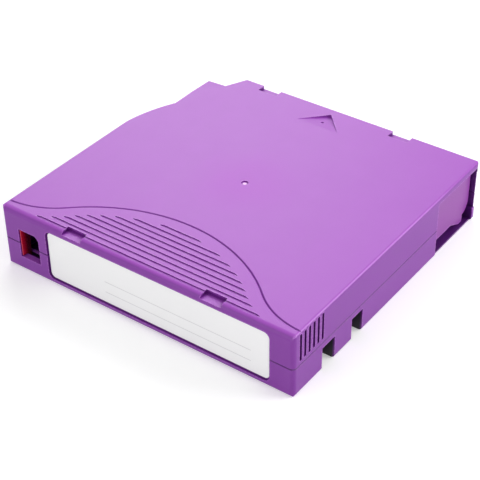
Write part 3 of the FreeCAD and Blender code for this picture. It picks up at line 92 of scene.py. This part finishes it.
class Finish:
    """One material and its nodes."""

    def __init__(self, name):
        self.material = bpy.data.materials.new(name)
        self.material.use_nodes = True
        self.tree = self.material.node_tree
        self.tree.nodes.clear()

    def add(self, kind, settings=None, inputs=None, output=0):
        """A node with its settings made first, then its sockets' values or links."""
        node = self.tree.nodes.new(kind)
        for name, setting in (settings or {}).items():
            setattr(node, name, setting)
        for name, given in (inputs or {}).items():
            if isinstance(given, Signal):
                self.tree.links.new(given.socket, node.inputs[name])
            else:
                node.inputs[name].default_value = given
        return Signal(self, node.outputs[output]) if node.outputs else None

    def place(self):
        """The place on the object, in metres."""
        return self.add("ShaderNodeTexCoord", output="Object")

    def along(self, axis):
        """One coordinate of the place on the object."""
        return self.add("ShaderNodeSeparateXYZ", inputs={0: self.place()}, output=axis)

    def noise(self, size, detail=3.0, fineness=(1, 1, 1)):
        """Uneven value about NOISE_MIDDLE with features of a size in metres.

        Along an axis they are as many times smaller as its fineness says.
        """
        place = self.add("ShaderNodeVectorMath", {"operation": "MULTIPLY"},
                         {0: self.place(), 1: [share / size for share in fineness]})
        return self.add("ShaderNodeTexNoise",
                        inputs={"Vector": place, "Scale": 1.0, "Detail": detail})

    def crowding(self, reach, inside=False):
        """How far the piece closes in round a place within reach; inside looks into its solid."""
        free = self.add("ShaderNodeAmbientOcclusion",
                        {"samples": CROWDING_LOOKS, "inside": inside, "only_local": True},
                        {"Distance": reach}, output="AO")
        return 1 - free

    def facing(self, axis):
        """The surface's own direction along an axis, from -1 to 1."""
        normal = self.add("ShaderNodeNewGeometry", output="Normal")
        return self.add("ShaderNodeSeparateXYZ", inputs={0: normal}, output=axis)

    def within(self, low, high, fade):
        """1 in a box that is mirrored about X = 0, fading to 0 over a distance inside its faces."""
        places = abs(self.along("X")), self.along("Y"), self.along("Z")
        inside = 1.0
        for place, start, end in zip(places, low, high):
            inside = inside * place.ramp(start, start + fade) * place.ramp(end, end - fade)
        return inside

    def away(self, point):
        """The distance from a point, in metres."""
        return self.add("ShaderNodeVectorMath", {"operation": "DISTANCE"},
                        {0: self.place(), 1: point}, output="Value")

    def mix(self, share, first, second):
        """A colour between two colours."""
        return self.add("ShaderNodeMix", {"data_type": "RGBA"},
                        {"Factor": share, 6: first, 7: second}, output=2)

    def bump(self, height, depth):
        """A normal from a height signal; depth is the real depth in metres."""
        return self.add("ShaderNodeBump", inputs={"Height": height, "Distance": depth, "Strength": 1.0})

    def surface(self, **inputs):
        """Ends the material in a Principled shader; underscores in names stand for spaces."""
        named = {name.replace("_", " ").title().replace("Ior", "IOR"): given
                 for name, given in inputs.items()}
        shader = self.add("ShaderNodeBsdfPrincipled", inputs=named)
        self.add("ShaderNodeOutputMaterial", inputs={"Surface": shader})
        return self.material


def colour(red, green, blue):
    return (red, green, blue, 1.0)


def toned(base, share, lift=0.0):
    """A tone made from another by a share of it and a lift towards white."""
    return colour(*(share * tone + lift for tone in base))


# ---------------------------------------------------------------- casing finish

TOP_PALE = colour(0.368, 0.080, 0.515)
TOP_DEEP = colour(0.334, 0.064, 0.476)
# painted shade: the walls' and the door's tones, deeper than the top's, for faces that stand upright
WALL_SHADE_PALE = colour(0.222, 0.028, 0.338)
WALL_SHADE_DEEP = colour(0.192, 0.020, 0.300)
DOOR_WALL_SHADE_PALE = colour(0.260, 0.040, 0.330)
DOOR_WALL_SHADE_DEEP = colour(0.225, 0.028, 0.295)
GATE_TONE = colour(0.365, 0.022, 0.505)
# a painted highlight on the gate's nub
SPRUE_HIGHLIGHT = colour(0.95, 0.62, 1.0)
# rubbed edges: partly wear, partly a painted highlight
RUBBED_AND_HIGHLIGHT = colour(0.47, 0.15, 0.62)
# a painted highlight on the top's side bevel
RIM_HIGHLIGHT = colour(0.56, 0.21, 0.72)
# painted shade in corners and grooves
CREVICE_SHADE = colour(0.130, 0.004, 0.215)
# near-black painted shade in deep hollows and the grip notches
HOLLOW_SHADE = colour(0.006, 0.000, 0.012)
# painted shade along the seam's groove
SEAM_SHADE = colour(0.060, 0.001, 0.110)
# painted shade in the door's bay
BAY_SHADE = colour(0.045, 0.000, 0.095)

# sizes of the cloudy patches, the flow marks, the eroded grain and the specks of wear
CLOUD_SIZE = 11 * MM
FLOW_SIZE = 7 * MM
FLOW_FINENESS = (1.6, 0.35, 1)
GRAIN_SIZE = 0.16 * MM
SPECK_SIZE = 0.6 * MM
GRAIN_DEPTH = 0.012 * MM

# Each pair from here on gives where a ramp is 0 and where it is 1.
# A tilt is the upward share of a face's direction: 1 on the top, 0 on a wall.
# faces tilted up less than this take the walls' painted shade
WALL_SHADE_TILT = (0.97, 0.6)
# how much of the walls' painted shade the arrow's own small walls lose
ARROW_WALL_SHADE = 0.8
# parts that the cloud and the flow marks have in the top's tone
CLOUD_SHARE = 0.6
FLOW_SHARE = 0.4

# the moulding gate's dimple, the stressed halo round it and a painted highlight on the nub in it
GATE = (0.0, 0.0, TOP)
HALO = (22 * MM, 2 * MM)
HALO_SHARE = 0.25
HALO_CLOUD = 0.3
SPRUE = (0.9 * MM, 0.5 * MM)

# low spots of the grain take some of the deep wall tone
PIT = (0.42, 0.2)
PIT_SHARE = 0.25

# rubbed edges, partly wear and partly a painted highlight, and the front wall before the door's bay,
# thin enough to pass for one
EDGE_REACH = 0.6 * MM
EDGE = (0.08, 0.32)
EDGE_SPECKS = (0.36, 0.62)
RUBBED_HIGHLIGHT_SHARE = 0.6
SKIN_FRONT = (HIGH.y - 0.3 * MM, HIGH.y - 0.1 * MM)
SKIN_SIDE = (HIGH.x - 4.0 * MM, HIGH.x - 3.5 * MM)

# a painted highlight on the bevel along the top's side edges, stronger towards the spine
RIM_TILT = (0.45, 0.70)
RIM_FLAT = (0.97, 0.85)
RIM_SIDE = (HIGH.x - 1.0 * MM, HIGH.x - 0.6 * MM)
RIM_SPINE = (45 * MM, 10 * MM)
RIM_HIGHLIGHT_SHARE = 0.35
RIM_SPECKS = 0.3

# Painted shade in corners and hollows, from how crowded a place is in a wide and a narrow reach.
# The arrow and the engraved lines keep only a little of the corners' painted shade.
WIDE_REACH = 7 * MM
NARROW_REACH = 0.9 * MM
CREVICE_CROWDING = (0.10, 0.50)
HOLLOW_CROWDING = (0.42, 0.62)
GROOVE_CROWDING = (0.45, 0.15)
ARROW_CREVICE = 0.85
ENGRAVED = (TOP - 1.0 * MM, TOP - 0.6 * MM)
ENGRAVED_CREVICE = 0.65

# the arrow moulded in the top, near the front edge
ARROW_REAR = (HIGH.y - 15 * MM, HIGH.y - 13 * MM)
ARROW_FRONT = (HIGH.y - 0.4 * MM, HIGH.y - 0.9 * MM)
ARROW_SIDE = (9 * MM, 8 * MM)
ARROW_DEPTH = (TOP - 2 * MM, TOP - 1 * MM)

# boxes round the insides of the grip notches and of the door's bay, which take a painted shade
NOTCHES = ((47.6 * MM, LOW.y + 13.0 * MM, -1 * MM), (HIGH.x - 0.1 * MM, LOW.y + 35.8 * MM, 9.2 * MM))
NOTCH_FADE = 0.9 * MM
DOOR_BAY = ((38 * MM, HIGH.y - 25.5 * MM, 0.1 * MM),
            (HIGH.x - 0.1 * MM, HIGH.y - 0.1 * MM, TOP - 0.5 * MM))
BAY_FADE = 0.5 * MM
BAY_SIDE = (0, 1 * MM)
BAY_SHADE_SHARE = 0.9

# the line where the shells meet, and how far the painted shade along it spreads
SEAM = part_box("upper_shell")[0].z
SEAM_SPREAD = (0.42 * MM, 0.12 * MM)

CASING_ROUGHNESS = 0.40
GRAIN_ROUGHNESS = 0.14
FLOW_ROUGHNESS = 0.05
RUBBED_POLISH = 0.10
CREVICE_ROUGHNESS = 0.2
SEAM_ROUGHNESS = 0.3
CASING_SPECULAR = 0.42


def arrow_mark(finish):
    """1 over the arrow in the top, 0 on the front wall and elsewhere."""
    return finish.along("Y").ramp(*ARROW_REAR) \
        * abs(finish.along("X")).ramp(*ARROW_SIDE) \
        * finish.along("Y").ramp(*ARROW_FRONT) \
        * finish.along("Z").ramp(*ARROW_DEPTH)


def worn_and_highlit_edges(finish, speck):
    """Specks of wear along the edges, partly standing in for a painted highlight, but not on the thin
    front wall.
    """
    edge = finish.crowding(EDGE_REACH, inside=True).ramp(*EDGE)
    skin = finish.along("Y").ramp(*SKIN_FRONT) * abs(finish.along("X")).ramp(*SKIN_SIDE)
    return edge * speck.ramp(*EDGE_SPECKS) * (1 - skin)


def rim_highlight(finish):
    """1 on the bevel along the top's side edges where a highlight is painted, fading towards the front.
    """
    tilt = abs(finish.facing("Z"))
    return tilt.ramp(*RIM_TILT) * tilt.ramp(*RIM_FLAT) \
        * abs(finish.along("X")).ramp(*RIM_SIDE) \
        * finish.along("Y").ramp(*RIM_SPINE)


def casing_plastic(name, shaded_wall_tones, shell):
    """Purple moulded casing: eroded grain, walls in a painted shade deeper than the top, painted shade
    in corners, grooves and deep hollows, rubbed edges that are partly a painted highlight, and painted
    highlights along the top's side bevel and on the gate's nub.

    A shell also has painted shade in the grip notches, the door's bay and along the seam, and the door
    has none of them.
    """
    finish = Finish(name)
    cloud = finish.noise(CLOUD_SIZE, detail=2.0)
    flow = finish.noise(FLOW_SIZE, fineness=FLOW_FINENESS)
    grain = finish.noise(GRAIN_SIZE, detail=2.0)
    speck = finish.noise(SPECK_SIZE, detail=2.0)
    arrow = arrow_mark(finish)

    # body tones, with a painted shade making the walls deeper than the top, and the gate's halo
    upright = abs(finish.facing("Z")).ramp(*WALL_SHADE_TILT) * (1 - ARROW_WALL_SHADE * arrow)
    body = finish.mix(cloud * CLOUD_SHARE + flow * FLOW_SHARE, TOP_DEEP, TOP_PALE)
    wall = finish.mix(flow, *shaded_wall_tones)
    body = finish.mix(upright, body, wall)
    gate = finish.away(GATE)
    body = finish.mix(gate.ramp(*HALO) * (HALO_SHARE + HALO_CLOUD * cloud), body, GATE_TONE)

    # grain, wear, and painted highlights on the edges and along the top's side bevel
    body = finish.mix(grain.ramp(*PIT) * PIT_SHARE, body, shaded_wall_tones[0])
    # the rubbed edges are partly wear and partly a painted highlight
    rubbed = worn_and_highlit_edges(finish, speck)
    body = finish.mix(rubbed * RUBBED_HIGHLIGHT_SHARE, body, RUBBED_AND_HIGHLIGHT)
    # a painted highlight along the top's side bevel
    body = finish.mix(rim_highlight(finish) * (RIM_HIGHLIGHT_SHARE + RIM_SPECKS * speck), body, RIM_HIGHLIGHT)

    # painted shade in corners and hollows
    crowded = finish.crowding(WIDE_REACH)
    narrow = finish.crowding(NARROW_REACH)
    engraved = finish.along("Z").ramp(*ENGRAVED)
    crevice_shade = crowded.ramp(*CREVICE_CROWDING) \
        * (1 - ARROW_CREVICE * arrow) * (1 - ENGRAVED_CREVICE * engraved)
    body = finish.mix(crevice_shade, body, CREVICE_SHADE)
    # near-black painted shade in deep hollows, not in narrow grooves
    hollow_shade = crowded.ramp(*HOLLOW_CROWDING) * narrow.ramp(*GROOVE_CROWDING)
    body = finish.mix(hollow_shade, body, HOLLOW_SHADE)

    roughness = CASING_ROUGHNESS \
        + GRAIN_ROUGHNESS * (grain - NOISE_MIDDLE) + FLOW_ROUGHNESS * (flow - NOISE_MIDDLE) \
        - RUBBED_POLISH * rubbed + CREVICE_ROUGHNESS * crevice_shade
    if shell:
        # near-black painted shade inside the grip notches
        body = finish.mix(finish.within(*NOTCHES, NOTCH_FADE), body, HOLLOW_SHADE)
        # painted shade in the door's bay
        bay = finish.within(*DOOR_BAY, BAY_FADE) * finish.along("X").ramp(*BAY_SIDE)
        body = finish.mix(bay * BAY_SHADE_SHARE, body, BAY_SHADE)
        # painted shade along the seam's groove
        seam = abs(finish.along("Z") - SEAM).ramp(*SEAM_SPREAD) * upright
        body = finish.mix(seam, body, SEAM_SHADE)
        roughness = roughness + SEAM_ROUGHNESS * seam
    # a painted highlight on the gate's nub
    body = finish.mix(gate.ramp(*SPRUE), body, SPRUE_HIGHLIGHT)
    return finish.surface(
        base_color=body,
        roughness=roughness,
        specular_ior_level=CASING_SPECULAR,
        normal=finish.bump(grain, GRAIN_DEPTH),
    )


# ---------------------------------------------------------------- other plastics

# moulded pieces that aren't casing
PLASTIC_CLOUD = 6 * MM
PLASTIC_GRAIN = 0.2 * MM
PLASTIC_GRAIN_DEPTH = 0.01 * MM
PLASTIC_GRAIN_ROUGHNESS = 0.15
PLASTIC_POLISH = 0.08
# painted shade in their inner corners, with the share of the base tone left there
CORNER_REACH = 4 * MM
CORNER_CROWDING = (0.3, 0.85)
CORNER_SHADE_SHARE = 0.7
CORNER_SHADE_KEPT = 0.15
# their worn edges, with the share of the base tone kept there and the lift towards white
WEAR_REACH = 0.3 * MM
WEAR_CROWDING = (0.2, 0.5)
WEAR_SHARE = 0.4
WEAR_KEPT = 0.8
WEAR_LIFT = 0.12

# the tab takes a painted shade with its depth behind the spine wall
SWITCH_PALE = colour(0.66, 0.006, 0.045)
SWITCH_DEEP = colour(0.56, 0.003, 0.030)
SWITCH_SHADE = colour(0.045, 0.0, 0.006)
SWITCH_WORN = colour(0.78, 0.06, 0.10)
SWITCH_CLOUD = 3 * MM
SWITCH_GRAIN = 0.3 * MM
SWITCH_GRAIN_DEPTH = 0.006 * MM
SWITCH_BEHIND = (LOW.y + 0.4 * MM, LOW.y + 2.4 * MM)
SWITCH_SHADE_SHARE = 0.92
SWITCH_ROUGHNESS = 0.26
SWITCH_GRAIN_ROUGHNESS = 0.12


def rubbed_corners(finish, cloud):
    """Patches of wear on a small piece's edges."""
    return finish.crowding(WEAR_REACH, inside=True).ramp(*WEAR_CROWDING) * cloud


def plain_plastic(name, base, deep, roughness=0.4):
    """Moulded plastic with a fine grain, rubbed edges and painted shade in its inner corners."""
    finish = Finish(name)
    cloud = finish.noise(PLASTIC_CLOUD)
    grain = finish.noise(PLASTIC_GRAIN, detail=2.0)
    body = finish.mix(cloud, colour(*base), colour(*deep))
    # painted shade in the inner corners
    corner = finish.crowding(CORNER_REACH).ramp(*CORNER_CROWDING)
    body = finish.mix(corner * CORNER_SHADE_SHARE, body, toned(base, CORNER_SHADE_KEPT))
    rubbed = rubbed_corners(finish, cloud)
    body = finish.mix(rubbed * WEAR_SHARE, body, toned(base, WEAR_KEPT, WEAR_LIFT))
    return finish.surface(
        base_color=body,
        roughness=roughness + PLASTIC_GRAIN_ROUGHNESS * (grain - NOISE_MIDDLE) - PLASTIC_POLISH * rubbed,
        normal=finish.bump(grain, PLASTIC_GRAIN_DEPTH),
    )


def switch_plastic():
    """Glossy crimson tab, with a painted shade that deepens with the depth at which it lies behind the
    spine wall.
    """
    finish = Finish("switch_plastic")
    cloud = finish.noise(SWITCH_CLOUD)
    grain = finish.noise(SWITCH_GRAIN, detail=2.0)
    body = finish.mix(cloud, SWITCH_DEEP, SWITCH_PALE)
    # painted shade, deeper behind the spine wall
    behind = finish.along("Y").ramp(*SWITCH_BEHIND)
    body = finish.mix(behind * SWITCH_SHADE_SHARE, body, SWITCH_SHADE)
    body = finish.mix(rubbed_corners(finish, cloud) * WEAR_SHARE, body, SWITCH_WORN)
    return finish.surface(
        base_color=body,
        roughness=SWITCH_ROUGHNESS + SWITCH_GRAIN_ROUGHNESS * (grain - NOISE_MIDDLE),
        normal=finish.bump(grain, SWITCH_GRAIN_DEPTH),
    )


# ---------------------------------------------------------------- label

PAPER_DEEP = colour(0.955, 0.957, 0.96)
PAPER_PALE = colour(0.98, 0.98, 0.98)
FIBRE_SIZE = 0.25 * MM
FIBRE_DEPTH = 0.003 * MM
FIBRE_SHARE = 0.5
PAPER_CLOUD = 8 * MM
PAPER_CLOUD_SHARE = 0.5
PAPER_ROUGHNESS = 0.45
FIBRE_ROUGHNESS = 0.1

# ruled lines on the label, with their ends along X and their heights
INK = colour(0.5, 0.5, 0.52)
INK_SHARE = 0.5
INK_FIBRE = 0.3
RULE_START = (-13.8 * MM, -13.5 * MM)
RULE_END = (38.4 * MM, 38.1 * MM)
RULE_HEIGHTS = (9.75 * MM, 6.0 * MM)
RULE_SPREAD = (0.2 * MM, 0.06 * MM)

# the label's cut edges
CUT_TONE = colour(0.72, 0.70, 0.74)
CUT_REACH = 0.25 * MM
CUT_CROWDING = (0.2, 0.5)
CUT_SHARE = 0.35


def label_paper():
    """White coated label stock with two faint ruled lines and slightly greyed cut edges."""
    finish = Finish("label_paper")
    fibre = finish.noise(FIBRE_SIZE, detail=4.0)
    cloud = finish.noise(PAPER_CLOUD, detail=2.0)
    sheet = finish.mix(FIBRE_SHARE * fibre + PAPER_CLOUD_SHARE * cloud, PAPER_DEEP, PAPER_PALE)
    along, height = finish.along("X"), finish.along("Z")
    length = along.ramp(*RULE_START) * along.ramp(*RULE_END)
    for line in RULE_HEIGHTS:
        ink = abs(height - line).ramp(*RULE_SPREAD) * length
        sheet = finish.mix(ink * (INK_SHARE + INK_FIBRE * fibre), sheet, INK)
    cut = finish.crowding(CUT_REACH, inside=True).ramp(*CUT_CROWDING)
    sheet = finish.mix(cut * CUT_SHARE, sheet, CUT_TONE)
    return finish.surface(
        base_color=sheet,
        roughness=PAPER_ROUGHNESS + FIBRE_ROUGHNESS * fibre,
        normal=finish.bump(fibre, FIBRE_DEPTH),
    )


# ---------------------------------------------------------------- steel and tape

MOTTLE_SIZE = 0.4 * MM
MOTTLE_DEPTH = 0.004 * MM
MOTTLE_DARK = 0.8
MOTTLE_ROUGHNESS = 0.2

FILM_DEEP = colour(0.035, 0.030, 0.028)
FILM_PALE = colour(0.06, 0.05, 0.045)
LINE_SIZE = 0.5 * MM
LINE_FINENESS = (1, 1, 40)
LINE_DEPTH = 0.01 * MM
FILM_ROUGHNESS = 0.25
LINE_ROUGHNESS = 0.15


def metal(name, base, roughness):
    """Steel with fine uneven mottling."""
    finish = Finish(name)
    mottle = finish.noise(MOTTLE_SIZE)
    return finish.surface(
        base_color=finish.mix(mottle, colour(*base), toned(base, MOTTLE_DARK)),
        metallic=1.0,
        roughness=roughness + MOTTLE_ROUGHNESS * (mottle - NOISE_MIDDLE),
        normal=finish.bump(mottle, MOTTLE_DEPTH),
    )


def tape_film():
    """Tape: dark glossy film with fine lines along its length."""
    finish = Finish("tape_film")
    lines = finish.noise(LINE_SIZE, fineness=LINE_FINENESS)
    return finish.surface(
        base_color=finish.mix(lines, FILM_DEEP, FILM_PALE),
        roughness=FILM_ROUGHNESS + LINE_ROUGHNESS * lines,
        normal=finish.bump(lines, LINE_DEPTH),
    )


# ---------------------------------------------------------------- what each piece is made of

def paint():
    """Gives every CAD node its finish."""
    finishes = {
        casing_plastic("casing_plastic", (WALL_SHADE_DEEP, WALL_SHADE_PALE), shell=True):
            ["upper_shell", "lower_shell"],
        casing_plastic("door_plastic", (DOOR_WALL_SHADE_DEEP, DOOR_WALL_SHADE_PALE), shell=False): ["door"],
        label_paper(): ["spine_label"],
        switch_plastic(): ["write_protect_switch"],
        plain_plastic("reel_plastic", (0.62, 0.62, 0.64), (0.70, 0.70, 0.71)):
            ["reel_hub", "upper_flange"],
        plain_plastic("lock_plastic", (0.70, 0.69, 0.65), (0.78, 0.77, 0.73)):
            ["release_pad", "brake_button"],
        metal("drive_steel", (0.58, 0.58, 0.59), 0.35): ["drive_plate"],
        tape_film(): ["tape_pack", "tape_leader"],
        metal("spring_steel", (0.55, 0.55, 0.56), 0.3):
            ["brake_spring", "door_spring", "pin_spring_lower", "pin_spring_upper"],
        metal("pin_steel", (0.70, 0.70, 0.71), 0.12): ["leader_pin"],
        plain_plastic("clip_plastic", (0.035, 0.035, 0.04), (0.05, 0.05, 0.055)): ["leader_clip"],
        plain_plastic("chip_board", (0.02, 0.12, 0.06), (0.03, 0.16, 0.08), 0.3): ["memory_chip"],
        metal("screw_steel", (0.34, 0.34, 0.35), 0.35): ["case_screws"],
    }
    for material, names in finishes.items():
        for name in names:
            for place in NODES[name].material_slots:
                place.material = material


# ---------------------------------------------------------------- camera

# degrees round from the spine, up from the floor and about the line of sight
CAMERA_TURN = 36.47
CAMERA_RISE = 36.63
CAMERA_ROLL = -0.814
# distance from the object's centre, moves across and up the view, and focal length in mm
CAMERA_FAR = 412.39 * MM
CAMERA_SIDE = -1.571 * MM
CAMERA_DROP = -8.728 * MM
CAMERA_LENS = 100.44
CAMERA_NEAR = 0.01


def camera():
    """The camera: aimed at the object's centre, then moved a little across and down its own view."""
    turn, rise, roll = (math.radians(angle) for angle in (CAMERA_TURN, CAMERA_RISE, CAMERA_ROLL))
    back = Vector((math.sin(turn) * math.cos(rise), -math.cos(turn) * math.cos(rise), math.sin(rise)))
    level = Vector((math.cos(turn), math.sin(turn), 0))
    upright = back.cross(level)
    right = level * math.cos(roll) + upright * math.sin(roll)
    up = upright * math.cos(roll) - level * math.sin(roll)
    centre = (LOW + HIGH) / 2
    stand = centre + back * CAMERA_FAR + right * CAMERA_SIDE + up * CAMERA_DROP
    data = bpy.data.cameras.new("camera")
    data.lens = CAMERA_LENS
    data.clip_start = CAMERA_NEAR
    lens = bpy.data.objects.new("camera", data)
    turned = Matrix((right, up, back)).transposed().to_4x4()
    lens.matrix_world = Matrix.Translation(stand) @ turned
    bpy.context.scene.collection.objects.link(lens)
    bpy.context.scene.camera = lens


# ---------------------------------------------------------------- studio

WHITE = colour(1, 1, 1)

# the floor lies just under the object, and glows more and more towards the white background
FLOOR_TONE = colour(0.80, 0.80, 0.80)
FLOOR_HALF = 3.0
FLOOR_GAP = 0.02 * MM
FLOOR_SPREAD = (0.15, 0.8)
FLOOR_GLOW = 0.34
FLOOR_FAR_GLOW = 0.66

# light from all round: its level, the share added overhead and the share added from the front
SKY_LEVEL = 0.57
SKY_RISE = 0.04
SKY_FRONT = 0.05

# place, size and watts of each soft lamp
LAMPS = {
    "key": ((-0.61, 0.74, 0.70), 0.5, 3.5),
    "side": ((0.55, 0.36, 0.36), 0.4, 3.5),
    "spine": ((-0.15, -0.8, 0.3), 0.6, 2.0),
}


def seen_directly(finish):
    """1 for rays from the camera, in mirrors and through glass, 0 for the light on the object."""
    ray = finish.add("ShaderNodeLightPath", output="Is Camera Ray")
    glossy = finish.add("ShaderNodeLightPath", output="Is Glossy Ray")
    through = finish.add("ShaderNodeLightPath", output="Is Transmission Ray")
    return ray.math("MAXIMUM", ray.math("MAXIMUM", ray, glossy), through)


def floor():
    """Pale floor that keeps the object's shadow and runs into the white background."""
    finish = Finish("floor")
    diffuse = finish.add("ShaderNodeBsdfDiffuse", inputs={"Color": FLOOR_TONE})
    far = finish.away((0.0, 0.0, 0.0)).ramp(*FLOOR_SPREAD)
    strength = seen_directly(finish) * (FLOOR_GLOW + FLOOR_FAR_GLOW * far)
    glow = finish.add("ShaderNodeEmission", inputs={"Color": WHITE, "Strength": strength})
    both = finish.add("ShaderNodeAddShader", inputs={0: diffuse, 1: glow})
    finish.add("ShaderNodeOutputMaterial", inputs={"Surface": both})
    mesh = bpy.data.meshes.new("floor")
    corners = [(-FLOOR_HALF, -FLOOR_HALF, 0), (FLOOR_HALF, -FLOOR_HALF, 0),
               (FLOOR_HALF, FLOOR_HALF, 0), (-FLOOR_HALF, FLOOR_HALF, 0)]
    mesh.from_pydata(corners, [], [(0, 1, 2, 3)])
    mesh.materials.append(finish.material)
    sheet = bpy.data.objects.new("floor", mesh)
    sheet.location.z = LOW.z - FLOOR_GAP
    bpy.context.scene.collection.objects.link(sheet)


def lamp(name, place, size, power):
    """A square soft light that points at the object."""
    data = bpy.data.lights.new(name, "AREA")
    data.size = size
    data.energy = power
    light = bpy.data.objects.new(name, data)
    light.location = place
    light.rotation_mode = "QUATERNION"
    light.rotation_quaternion = (-Vector(place)).to_track_quat("-Z", "Y")
    bpy.context.scene.collection.objects.link(light)


class Sky(Finish):
    """The world's nodes, made with the same methods."""

    def __init__(self):
        world = bpy.data.worlds.new("studio")
        world.use_nodes = True
        self.tree = world.node_tree
        self.tree.nodes.clear()
        bpy.context.scene.world = world


def studio():
    """The sky, the lamps, the floor and the plain colour view."""
    sky = Sky()
    direction = sky.add("ShaderNodeTexCoord", output="Generated")
    up = sky.add("ShaderNodeSeparateXYZ", inputs={0: direction}, output="Z")
    front = sky.add("ShaderNodeSeparateXYZ", inputs={0: direction}, output="Y")
    seen = seen_directly(sky)
    dome = SKY_LEVEL + SKY_RISE * up.ramp(0, 1) + SKY_FRONT * front.ramp(-1, 1)
    strength = seen + (1 - seen) * dome
    light = sky.add("ShaderNodeBackground", inputs={"Color": WHITE, "Strength": strength})
    sky.add("ShaderNodeOutputWorld", inputs={"Surface": light})
    for name, (place, size, power) in LAMPS.items():
        lamp(name, place, size, power)
    floor()
    bpy.context.scene.view_settings.view_transform = "Standard"


paint()
camera()
studio()
